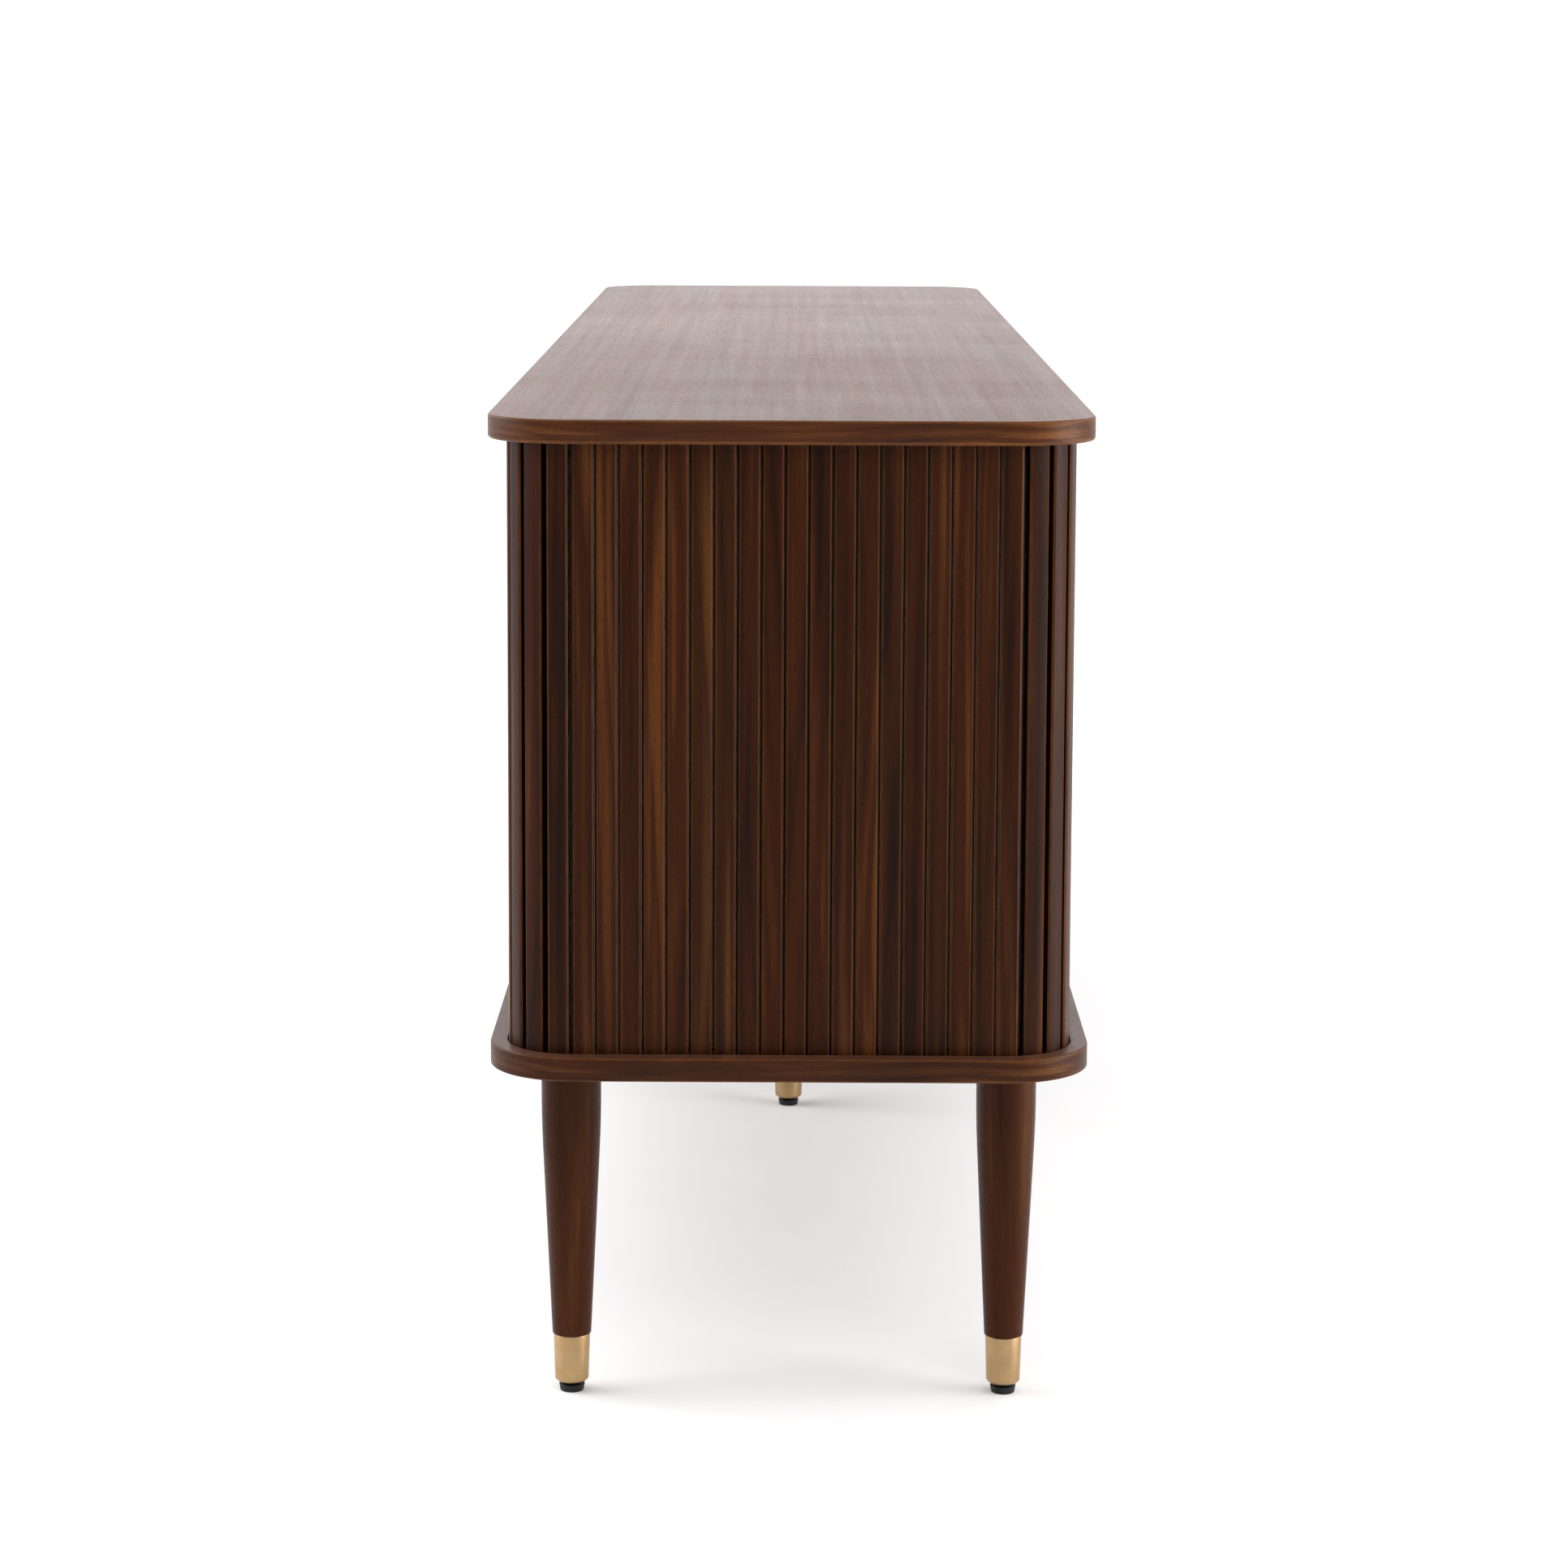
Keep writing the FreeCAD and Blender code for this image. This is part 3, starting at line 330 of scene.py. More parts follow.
def metal(name, base, roughness, line_scale=(120, 120, 5200), line_depth=0.25):
    """Brushed or turned metal with fine lines, slight cloudiness and small dull marks."""
    material, tree, shader = new_material(name)
    coords = tree.add("ShaderNodeTexCoord").outputs["Object"]
    lines = tree.noise(tree.stretch(coords, line_scale), 1.0, 3, 0.6)
    cloud = tree.noise(coords, 70.0, 3)
    speck = tree.ramp(tree.noise(coords, 420.0, 2), ((0.66, 0.0), (0.74, 1.0)))
    blend = tree.maths("ADD", tree.maths("MULTIPLY", lines, 0.5), tree.maths("MULTIPLY", cloud, 0.5))
    bright = tuple(min(1, part) for part in shaded(1.08, base))
    shade = tree.ramp(blend, ((0.3, shaded(0.80, base)), (0.7, bright)))
    tree.set(shader, "Base Color", tree.mix(tree.maths("MULTIPLY", speck, 0.25), shade,
                                            shaded(0.55, base)))
    gloss = tree.maths("ADD", tree.maths("MULTIPLY", lines, 0.18), roughness - 0.09)
    tree.set(shader, "Roughness", tree.maths("ADD", gloss, tree.maths("MULTIPLY", speck, 0.12)))
    bump = tree.add("ShaderNodeBump", {"Height": lines, "Strength": line_depth, "Distance": 0.00005})
    tree.set(shader, "Normal", bump.outputs[0])
    shader.inputs["Metallic"].default_value = 1.0
    return material


def plastic(name):
    material, tree, shader = new_material(name)
    coords = tree.add("ShaderNodeTexCoord").outputs["Object"]
    mottle = tree.noise(coords, 900.0, 2)
    dust = tree.ramp(tree.noise(coords, 160.0, 4), ((0.5, 0.0), (0.75, 1.0)))
    base = tuple(finishes().plastic)
    tree.set(shader, "Base Color", tree.mix(tree.maths("MULTIPLY", dust, 0.35), base,
                                            shaded(3.5, base)))
    tree.set(shader, "Roughness", tree.maths("ADD", tree.maths("MULTIPLY", mottle, 0.2), 0.38))
    bump = tree.add("ShaderNodeBump", {"Height": mottle, "Strength": 0.3, "Distance": 0.0001})
    tree.set(shader, "Normal", bump.outputs[0])
    shader.inputs["Specular IOR Level"].default_value = 0.25
    return material


def woven(name):
    """Plain-woven cotton: warp and weft as two crossed sine waves."""
    material, tree, shader = new_material(name)
    coords = tree.add("ShaderNodeTexCoord").outputs["Object"]
    parts = tree.add("ShaderNodeSeparateXYZ", {0: coords})
    across = tree.maths("ADD", parts.outputs[0], parts.outputs[1])
    threads = 2 * math.pi / 0.0009
    warp = tree.maths("SINE", tree.maths("MULTIPLY", across, threads))
    weft = tree.maths("SINE", tree.maths("MULTIPLY", parts.outputs[2], threads))
    weave = tree.maths("MULTIPLY", warp, weft)
    slub = tree.noise(coords, 240.0, 3)
    base = tuple(finishes().canvas)
    shade = tree.ramp(tree.maths("ADD", tree.maths("MULTIPLY", weave, 0.25), slub),
                      ((0.3, shaded(0.55, base)), (0.8, shaded(1.6, base))))
    tree.set(shader, "Base Color", shade)
    tree.set(shader, "Roughness", tree.maths("ADD", tree.maths("MULTIPLY", slub, 0.2), 0.75))
    bump = tree.add("ShaderNodeBump", {"Height": weave, "Strength": 0.5, "Distance": 0.0002})
    tree.set(shader, "Normal", bump.outputs[0])
    shader.inputs["Sheen Weight"].default_value = 0.2
    return material


MATERIALS = {
    "board_walnut": lambda name: walnut(name, tone=1.7, roughness=0.34, gleam=0.38, bloom=0.16, contrast=0.3,
                                        figure_size=(1.5, 30), pore_bump=1.0, open_grain=0.8),
    # The base board's edge band is the edge walnut again but darker (tone 1.05 against 1.5, less gleam and
    # sheen): painted shade, as the body above keeps light off that edge.
    "base_edge_walnut_painted_shade": lambda name: walnut(name, tone=1.05, roughness=0.4, gleam=0.10, bloom=0.08,
                                            contrast=0.8, figure_size=(7, 70), pore_bump=0.6),
    "edge_walnut": lambda name: walnut(name, tone=1.5, roughness=0.4, gleam=0.12, bloom=0.1, contrast=0.8,
                                       figure_size=(7, 70), pore_bump=0.6),
    "slat_walnut": lambda name: walnut(name, tone=0.88, roughness=0.36, gleam=0.07, bloom=0.45, contrast=0.75,
                                       bloom_spread=0.14),
    "solid_walnut": lambda name: walnut(name, tone=1.1, roughness=0.42, gleam=0.08, bloom=0.14),
    "leg_walnut": lambda name: walnut(name, tone=1.25, roughness=0.36, gleam=0.07, bloom=0.45, contrast=0.42,
                                      pore_bump=0.8, bloom_spread=0.14),
    "upright_walnut": lambda name: walnut(name, along="Z", tone=1.6, roughness=0.45, gleam=0.25,
                                          contrast=0.5, figure_size=(2.0, 44)),
    "panel_walnut": lambda name: walnut(name, along="X", tone=1.4, roughness=0.45, gleam=0.25,
                                        contrast=0.5, figure_size=(1.6, 42)),
    "shelf_walnut": lambda name: walnut(name, tone=1.6, roughness=0.42, contrast=0.6, figure_size=(1.1, 24)),
    "beech": beech,
    "brass": lambda name: metal(name, tuple(finishes().brass), 0.34),
    "bright_brass": lambda name: metal(name, tuple(finishes().brass), 0.28, (900, 900, 900)),
    "steel": lambda name: metal(name, tuple(finishes().steel), 0.36, (1500, 1500, 1500)),
    "black_plastic": plastic,
    "canvas": woven,
}
FINISHES_MADE = {}


def finish_for(key):
    """The finish of that name, made the first time it is asked for."""
    if key not in FINISHES_MADE:
        FINISHES_MADE[key] = MATERIALS[key](key + "_finish")
    return FINISHES_MADE[key]


def paint_node(node, key):
    """Gives a CAD node a finish and leaves its mesh alone."""
    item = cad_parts[node]
    for slot in item.material_slots:
        slot.link = "OBJECT"
        slot.material = finish_for(key)
    return item


# ---- meshes ----

def finish_piece(item, key, body, replaces=(), smooth_angle=30.0):
    """Gives a finished mesh its material, shading, body and slot."""
    item.data.materials.clear()
    item.data.materials.append(finish_for(key))
    item.data.polygons.foreach_set("use_smooth", [True] * len(item.data.polygons))
    item.data.set_sharp_from_angle(angle=math.radians(smooth_angle))
    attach(item, body)
    if replaces:
        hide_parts(*replaces)
    return item


def object_from(name, shape, grain=None, worn=None):
    """An object from a bmesh; grain(face, corner) and worn(face) fill the walnut's two attributes."""
    mesh = bpy.data.meshes.new(name)
    shape.normal_update()
    shape.to_mesh(mesh)
    shape.free()
    if grain:
        layer = mesh.attributes.new("grain", "FLOAT_VECTOR", "CORNER")
        values = []
        for face in mesh.polygons:
            for corner in face.loop_indices:
                spot = mesh.vertices[mesh.loops[corner].vertex_index].co
                values.extend(grain(face, spot))
        layer.data.foreach_set("vector", values)
    if worn:
        layer = mesh.attributes.new("worn", "FLOAT", "FACE")
        layer.data.foreach_set("value", [float(worn(face)) for face in mesh.polygons])
    item = bpy.data.objects.new(name, mesh)
    bpy.context.scene.collection.objects.link(item)
    return item


def loft(shape, rings, close_start=True, close_end=True):
    """Skins a bmesh over rings of equally many points, and caps its ends."""
    rows = [[shape.verts.new(spot) for spot in ring] for ring in rings]
    for lower, upper in zip(rows, rows[1:]):
        for i in range(len(lower)):
            following = (i + 1) % len(lower)
            shape.faces.new((lower[i], lower[following], upper[following], upper[i]))
    if close_start:
        shape.faces.new(list(reversed(rows[0])))
    if close_end:
        shape.faces.new(rows[-1])
    return rows


def circle(centre, radius, height, segments):
    """Points round a level circle."""
    turns = [2 * math.pi * i / segments for i in range(segments)]
    return [(centre[0] + radius * math.cos(turn), centre[1] + radius * math.sin(turn), height)
            for turn in turns]


def edges_within(rim):
    """The edges with both ends in a ring of vertices, in the ring's order."""
    return list(dict.fromkeys(edge for vertex in rim for edge in vertex.link_edges
                              if all(end in rim for end in edge.verts)))


def lathe(profile, centre, segments):
    """A turned solid from (radius, height) points that start and end on its axis, counted upwards."""
    shape = bmesh.new()
    low, high = profile[0], profile[-1]
    rings = [circle(centre, radius, height, segments) for radius, height in profile[1:-1]]
    rows = loft(shape, rings, close_start=False, close_end=False)
    for row, (_, height), turned in ((rows[0], low, True), (rows[-1], high, False)):
        hub = shape.verts.new((centre[0], centre[1], height))
        for i in range(segments):
            pair = (row[i], row[(i + 1) % segments])
            shape.faces.new((hub, *reversed(pair)) if turned else (hub, *pair))
    return shape


def rounded(points, radius, steps=4):
    """The open outline with each inner corner rounded by about radius."""
    soft = [points[0]]
    for before, corner, after in zip(points, points[1:], points[2:]):
        corner_v = Vector(corner)
        back, ahead = Vector(before) - corner_v, Vector(after) - corner_v
        reach = min(radius, 0.45 * back.length, 0.45 * ahead.length)
        start, end = corner_v + back.normalized() * reach, corner_v + ahead.normalized() * reach
        for i in range(steps + 1):
            share = i / steps
            spot = start * (1 - share) ** 2 + corner_v * 2 * share * (1 - share) + end * share ** 2
            soft.append(tuple(spot))
    return soft + [points[-1]]


# ---- boards ----

CORNER_STEPS = 28
HOLE_SIDES = 20


def outline_points(half_x, half_y, radius):
    """Points of a rounded rectangle, anticlockwise."""
    points = []
    for turn, (sx, sy) in enumerate(((1, 1), (-1, 1), (-1, -1), (1, -1))):
        centre = Vector((sx * (half_x - radius), sy * (half_y - radius)))
        for i in range(CORNER_STEPS + 1):
            angle = (turn + i / CORNER_STEPS) * math.pi / 2
            points.append(centre + Vector((math.cos(angle), math.sin(angle))) * radius)
    return points


def edge_arc(radius, height, top):
    """(inset, height) points of a rounded arris, going up; top says which edge of the board it is."""
    steps = 5
    points = []
    for i in range(steps + 1):
        angle = i / steps * math.pi / 2
        if top:
            points.append((radius - radius * math.cos(angle), height - radius + radius * math.sin(angle)))
        else:
            points.append((radius - radius * math.sin(angle), height + radius - radius * math.cos(angle)))
    return points


def board_rings(low, high, upper_arris, lower_arris, groove_up):
    """(inset, height) stations from the middle of the underside round the edge to the middle of the top."""
    size = sizes()
    overhang = high.x - TAMBOUR_HIGH.x
    tambour = SLAT_THICKNESS + (CANVAS_HIGH.y - CANVAS_LOW.y)
    groove = (overhang - size.groove_clearance, overhang + tambour + size.groove_clearance)
    floor = high.z - size.groove_depth if groove_up else low.z + size.groove_depth
    face = high.z if groove_up else low.z
    ring_groove = [(groove[0], face), (groove[0], floor), (groove[1], floor), (groove[1], face)]
    stations = edge_arc(lower_arris, low.z, False) + edge_arc(upper_arris, high.z, True)
    return stations + ring_groove if groove_up else list(reversed(ring_groove)) + stations


def make_board(name, edge_finish, groove_up, lower_arris, holes=()):
    """A veneered board; the edge band's grain runs round the edge and the faces' grain along the board."""
    low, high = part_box(name)
    size = sizes()
    half_x, half_y = high.x, high.y
    stations = board_rings(low, high, size.arris, lower_arris, groove_up)
    rings = [[(spot.x, spot.y, height) for spot in
              outline_points(half_x - inset, half_y - inset, size.corner_radius - inset)]
             for inset, height in stations]
    shape = bmesh.new()
    rows = loft(shape, rings, close_start=not holes)
    if holes:
        pierced_face(shape, rows[0], holes, low.z)
    bmesh.ops.recalc_face_normals(shape, faces=shape.faces)
    middle = (low.z + high.z) / 2

    def along_edge(spot):
        corner_x, corner_y = half_x - size.corner_radius, half_y - size.corner_radius
        over_x, over_y = abs(spot.x) - corner_x, abs(spot.y) - corner_y
        quarter = size.corner_radius * math.pi / 2
        if over_x > 0 and over_y > 0:
            bend = math.atan2(over_y, over_x) * size.corner_radius
        else:
            bend = 0.0 if over_x > 0 else quarter
        side = math.copysign(corner_y, spot.y)
        if over_x > 0 and over_y <= 0:
            side = min(max(spot.y, -corner_y), corner_y)
        turn = math.copysign(bend, spot.y)
        front = corner_x - min(abs(spot.x), corner_x)
        return side + turn + math.copysign(front, spot.y)

    def grain(face, spot):
        if abs(face.normal.z) < 0.7:
            end = 3.0 if face.center.x > 0 else 7.0
            return along_edge(spot) + end, spot.z - middle + 0.4, 0.013 * end
        return spot.x, spot.y + (0.31 if groove_up else 0.0), spot.z * 0.2

    def worn(face):
        return 0.15 < abs(face.normal.z) < 0.97

    item = object_from(name + "_finish", shape, grain, worn)
    finish_piece(item, "board_walnut", CARCASE, (name,), 24)
    item.data.materials.append(finish_for(edge_finish))
    for face in item.data.polygons:
        face.material_index = int(abs(face.normal.z) < 0.9)


def pierced_face(shape, rim, holes, height):
    """Fills the board's underside round blind round holes, each (x, y, radius, depth)."""
    edges = edges_within(rim)
    for x, y, radius, depth in holes:
        rings = [circle((x, y), radius, level, HOLE_SIDES) for level in (height, height + depth)]
        edges += edges_within(loft(shape, rings, close_start=False)[0])
    bmesh.ops.triangle_fill(shape, use_beauty=True, use_dissolve=False, edges=edges)


# ---- tambour by geometry nodes ----

INNER_ARRIS = 0.0004
CHAMFER_SOFTENING = 0.00022
SLAT_INPUTS = (
    ("Straight X", "NodeSocketFloat"), ("Straight Y", "NodeSocketFloat"), ("Track Radius", "NodeSocketFloat"),
    ("Pitch", "NodeSocketFloat"), ("Width", "NodeSocketFloat"), ("Thickness", "NodeSocketFloat"),
    ("Chamfer", "NodeSocketFloat"), ("Bottom", "NodeSocketFloat"), ("Height", "NodeSocketFloat"),
    ("First Run", "NodeSocketFloat"), ("Side", "NodeSocketFloat"), ("Count", "NodeSocketInt"),
    ("Seed", "NodeSocketInt"), ("Material", "NodeSocketMaterial"),
)


def slat_tree():
    """Geometry nodes that stand slats along a rounded track, each with its own tone and stretch of grain."""
    made = bpy.data.node_groups.get("Tambour slats")
    if made:
        return made
    group = bpy.data.node_groups.new("Tambour slats", "GeometryNodeTree")
    group.interface.new_socket("Geometry", in_out="INPUT", socket_type="NodeSocketGeometry")
    for name, kind in SLAT_INPUTS:
        group.interface.new_socket(name, in_out="INPUT", socket_type=kind)
    group.interface.new_socket("Geometry", in_out="OUTPUT", socket_type="NodeSocketGeometry")
    tree = Tree(group)
    given = tree.add("NodeGroupInput").outputs

    # the track, a rounded rectangle that starts where the rear right corner starts
    full_x = tree.maths("MULTIPLY", tree.maths("ADD", given["Straight X"], given["Track Radius"]), 2.0)
    full_y = tree.maths("MULTIPLY", tree.maths("ADD", given["Straight Y"], given["Track Radius"]), 2.0)
    square = tree.add("GeometryNodeCurvePrimitiveQuadrilateral", {"Width": full_x, "Height": full_y})
    track = tree.add("GeometryNodeFilletCurve", {"Curve": square.outputs[0], "Radius": given["Track Radius"]},
                     mode="POLY")
    track.inputs["Count"].default_value = 48
    total = tree.add("GeometryNodeCurveLength", {0: track.outputs[0]}).outputs[0]

    # one slat: a chamfered outline, softened, filled and drawn up
    bar = tree.add("GeometryNodeCurvePrimitiveQuadrilateral",
                   {"Width": given["Width"], "Height": given["Thickness"]})
    place = tree.add("GeometryNodeInputPosition").outputs[0]
    outer_side = tree.maths("LESS_THAN", tree.add("ShaderNodeSeparateXYZ", {0: place}).outputs[1], 0.0)
    beyond = tree.maths("SUBTRACT", given["Chamfer"], INNER_ARRIS)
    cut = tree.maths("ADD", tree.maths("MULTIPLY", outer_side, beyond), INNER_ARRIS)
    chamfered = tree.add("GeometryNodeFilletCurve", {"Curve": bar.outputs[0], "Radius": cut}, mode="POLY")
    chamfered.inputs["Count"].default_value = 1
    softened = tree.add("GeometryNodeFilletCurve", {"Curve": chamfered.outputs[0], "Radius": CHAMFER_SOFTENING},
                        mode="POLY")
    softened.inputs["Count"].default_value = 2
    flat = tree.add("GeometryNodeFillCurve", {0: softened.outputs[0]}, mode="NGONS")
    moved = tree.add("ShaderNodeCombineXYZ", {1: tree.maths("MULTIPLY", given["Thickness"], -0.5),
                                              2: given["Bottom"]}).outputs[0]
    filled = tree.add("GeometryNodeSetPosition", {"Geometry": flat.outputs[0], "Offset": moved})
    rise = tree.add("ShaderNodeCombineXYZ", {2: given["Height"]}).outputs[0]
    drawn = tree.add("GeometryNodeExtrudeMesh", {
        "Mesh": filled.outputs[0], "Offset": rise, "Offset Scale": 1.0, "Individual": False})
    under = tree.add("GeometryNodeFlipFaces", {0: filled.outputs[0]})
    both = tree.add("GeometryNodeJoinGeometry")
    tree.tree.links.new(drawn.outputs[0], both.inputs[0])
    tree.tree.links.new(under.outputs[0], both.inputs[0])
    closed = tree.add("GeometryNodeMergeByDistance", {"Geometry": both.outputs[0], "Distance": 0.00001})
    axes = tree.add("ShaderNodeSeparateXYZ", {0: place})
    lengthwise = tree.add("ShaderNodeCombineXYZ", {
        0: axes.outputs[2], 1: axes.outputs[0], 2: axes.outputs[1]})
    grained = tree.add("GeometryNodeStoreNamedAttribute", {
        "Geometry": closed.outputs[0], "Name": "grain", "Value": lengthwise.outputs[0]},
        data_type="FLOAT_VECTOR", domain="CORNER")
    # Chamfer faces get 1 for rubbed-pale wear; the slats' side faces, in the gaps between slats, get -1 for
    # painted shade.
    slope = tree.add("ShaderNodeSeparateXYZ", {0: tree.add("GeometryNodeInputNormal").outputs[0]})
    outward = tree.maths("MULTIPLY", slope.outputs[1], -1.0)
    sloping = tree.maths("MULTIPLY", tree.maths("GREATER_THAN", outward, 0.2),
                         tree.maths("LESS_THAN", outward, 0.98))
    painted_gap_shade = tree.maths("GREATER_THAN", tree.maths("ABSOLUTE", slope.outputs[0]), 0.9)
    worn = tree.add("GeometryNodeStoreNamedAttribute", {
        "Geometry": grained.outputs[0], "Name": "worn", "Value": tree.maths("SUBTRACT", sloping, painted_gap_shade)},
        data_type="FLOAT", domain="FACE")

    # the places along the track, and what differs from slat to slat
    points = tree.add("GeometryNodePoints", {"Count": given["Count"]})
    step = tree.maths("ADD", tree.add("GeometryNodeInputIndex").outputs[0], 0.5)
    run = tree.maths("ADD", given["First Run"], tree.maths("MULTIPLY", step, given["Pitch"]))
    corner = tree.maths("MULTIPLY", given["Track Radius"], math.pi / 2)
    to_start = tree.maths("ADD", tree.maths("ADD", given["Straight X"], corner),
                          tree.maths("MULTIPLY", given["Straight Y"], 2.0))
    from_start = tree.maths("SUBTRACT", tree.maths("MULTIPLY", run, given["Side"]), to_start)
    length = tree.maths("FLOORED_MODULO", from_start, total)
    sample = tree.add("GeometryNodeSampleCurve", {"Curves": track.outputs[0], "Length": length},
                      mode="LENGTH")
    stood = tree.add("GeometryNodeSetPosition", {"Geometry": points.outputs[0],
                                                 "Position": sample.outputs["Position"]})
    facing = tree.add("FunctionNodeAlignRotationToVector", {"Vector": sample.outputs["Tangent"]},
                      axis="X", pivot_axis="Z")
    copies = tree.add("GeometryNodeInstanceOnPoints", {
        "Points": stood.outputs[0], "Instance": worn.outputs[0], "Rotation": facing.outputs[0]})
    shade = tree.add("FunctionNodeRandomValue", {2: 0.08, 3: 1.0, "Seed": given["Seed"]}, data_type="FLOAT")
    toned = tree.add("GeometryNodeStoreNamedAttribute", {
        "Geometry": copies.outputs[0], "Name": "tone", "Value": shade.outputs[1]},
        data_type="FLOAT", domain="INSTANCE")
    jump = tree.add("FunctionNodeRandomValue", {0: (0, 0, 0), 1: (9, 4, 4), "Seed": given["Seed"]},
                    data_type="FLOAT_VECTOR")
    shifted = tree.add("GeometryNodeStoreNamedAttribute", {
        "Geometry": toned.outputs[0], "Name": "grain_shift", "Value": jump.outputs[0]},
        data_type="FLOAT_VECTOR", domain="INSTANCE")
    real = tree.add("GeometryNodeRealizeInstances", {0: shifted.outputs[0]})
    own = tree.add("GeometryNodeInputNamedAttribute", {"Name": "grain"}, data_type="FLOAT_VECTOR")
    shift = tree.add("GeometryNodeInputNamedAttribute", {"Name": "grain_shift"}, data_type="FLOAT_VECTOR")
    placed = tree.add("GeometryNodeStoreNamedAttribute", {
        "Geometry": real.outputs[0], "Name": "grain",
        "Value": tree.vector("ADD", own.outputs[0], shift.outputs[0])},
        data_type="FLOAT_VECTOR", domain="CORNER")
    painted = tree.add("GeometryNodeSetMaterial", {
        "Geometry": placed.outputs[0], "Material": given["Material"]})
    out = tree.add("NodeGroupOutput")
    tree.tree.links.new(painted.outputs[0], out.inputs[0])
    return group


def nodes_result(name, group, values, base=None):
    """Runs a geometry node group once and returns its result as a plain mesh object."""
    host = base or bpy.data.objects.new(name + "_host", bpy.data.meshes.new(name + "_host"))
    bpy.context.scene.collection.objects.link(host)
    modifier = host.modifiers.new("nodes", "NODES")
    modifier.node_group = group
    for socket in group.interface.items_tree:
        if socket.in_out == "INPUT" and socket.name in values:
            modifier[socket.identifier] = values[socket.name]
    evaluated = host.evaluated_get(bpy.context.evaluated_depsgraph_get())
    mesh = bpy.data.meshes.new_from_object(evaluated)
    mesh.name = name
    bpy.data.objects.remove(host)
    item = bpy.data.objects.new(name, mesh)
    bpy.context.scene.collection.objects.link(item)
    return item


def make_slats(name, side, first, count, width, body, slot, replaces, seed, first_run=None):
    """Slats number first onwards of one door, or its stile when first_run and width say so."""
    size = sizes()
    track_x = TAMBOUR_HIGH.x - SLAT_THICKNESS
    track_y = -SLAT_HIGH.y
    radius = size.corner_radius - (BOARD_HIGH.x - track_x)
    start = SLAT_LOW.x - (size.slat_pitch - size.slat_width) / 2
    pitch = size.slat_pitch if first_run is None else width
    values = {
        "Straight X": track_x - radius, "Straight Y": track_y - radius, "Track Radius": radius,
        "Pitch": pitch, "Width": width, "Thickness": SLAT_THICKNESS, "Chamfer": size.slat_chamfer,
        "Bottom": SLAT_LOW.z, "Height": SLAT_HIGH.z - SLAT_LOW.z,
        "First Run": start + first * pitch if first_run is None else first_run,
        "Side": float(side), "Count": count, "Seed": seed, "Material": finish_for(slot),
    }
    item = nodes_result(name, slat_tree(), values)
    return finish_piece(item, slot, body, replaces)


def squash_with_door(item):
    """Gives the front run of a door a mesh of its own."""
    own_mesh(item)


def make_front_canvas(side_name):
    """The cloth behind the front slats, a sheet with a wall, given a mesh of its own as the slats are."""
    node = f"{side_name}_front_canvas"
    low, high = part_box(node)
    shape = bmesh.new()
    lengths = 60
    rings = []
    for i in range(lengths + 1):
        x = low.x + (high.x - low.x) * i / lengths
        rings.append([(x, low.y, low.z), (x, high.y, low.z), (x, high.y, high.z), (x, low.y, high.z)])
    loft(shape, rings)
    bmesh.ops.recalc_face_normals(shape, faces=shape.faces)
    item = finish_piece(object_from(node + "_cloth", shape), "canvas", CARCASE, (node,))
    squash_with_door(item)
    return item


def make_pull(side_name):
    """A wooden bar with round edges and a scooped side for the fingers."""
    side = SIDES[side_name]
    low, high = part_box(f"{side_name}_pull")
    face = -abs(SLAT_LOW.y)
    inner, outer = sorted((abs(low.x), abs(high.x)))
    depth = face - low.y
    scoop = 0.22 * (outer - inner)
    soft = rounded([(inner, face), (inner, low.y), (outer, low.y), (outer, low.y + 0.3 * depth)], 0.0028, 6)
    for i in range(1, 9):
        share = i / 9
        soft.append((outer - scoop * math.sin(math.pi * share), low.y + (0.3 + 0.7 * share) * depth))
    soft.append((outer, face))
    middle = Vector(((inner + outer) / 2, face))
    rings = []
    ends = [(0.86, 0.0), (0.95, 0.0006), (0.99, 0.0016), (1.0, 0.003)]
    stations = [(scale, low.z + rise) for scale, rise in ends]
    stations += [(1.0, (low.z + high.z) / 2)]
    stations += [(scale, high.z - rise) for scale, rise in reversed(ends)]
    for scale, height in stations:
        ring = []
        for x, y in soft:
            ring.append((side * (middle.x + (x - middle.x) * scale), face + (y - face) * scale, height))
        rings.append(ring)
    shape = bmesh.new()
    loft(shape, rings)
    bmesh.ops.recalc_face_normals(shape, faces=shape.faces)
    item = object_from(f"{side_name}_pull_bar", shape,
                       lambda _, spot: (spot.z + 3 * side, spot.x, spot.y + 0.2),
                       lambda piece: abs(piece.normal.x) > 0.3 and piece.normal.y < -0.3)
    finish_piece(item, "solid_walnut", f"{side_name}_door_lead", (f"{side_name}_pull",), 50)


# ---- carcase ----

def make_shelf(side_name):
    """A lipped shelf with softly rounded edges."""
    node = f"{side_name}_shelf"
    low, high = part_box(node)
    round_by = 0.0012
    rings = []
    for inset, height in edge_arc(round_by, low.z, False) + edge_arc(round_by, high.z, True):
        corners = [(low.x + inset, low.y + inset), (high.x - inset, low.y + inset),
                   (high.x - inset, high.y - inset), (low.x + inset, high.y - inset)]
        rings.append([(x, y, height) for x, y in corners])
    shape = bmesh.new()
    loft(shape, rings)
    bmesh.ops.recalc_face_normals(shape, faces=shape.faces)

    def grain(face, spot):
        if abs(face.normal.x) > 0.7:
            return spot.y + 5, spot.z + 0.7, 0.2
        if abs(face.normal.y) > 0.7:
            return spot.x, spot.z + 0.3, 0.1
        return spot.x + 11 * SIDES[side_name], spot.y, 0.05

    item = object_from(node + "_board", shape, grain, lambda face: 0.2 < abs(face.normal.z) < 0.95)
    finish_piece(item, "shelf_walnut", CARCASE, (node,))


# ---- legs ----

def spread(centre_node):
    low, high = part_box(centre_node)
    return (low.x + high.x) / 2, (low.y + high.y) / 2


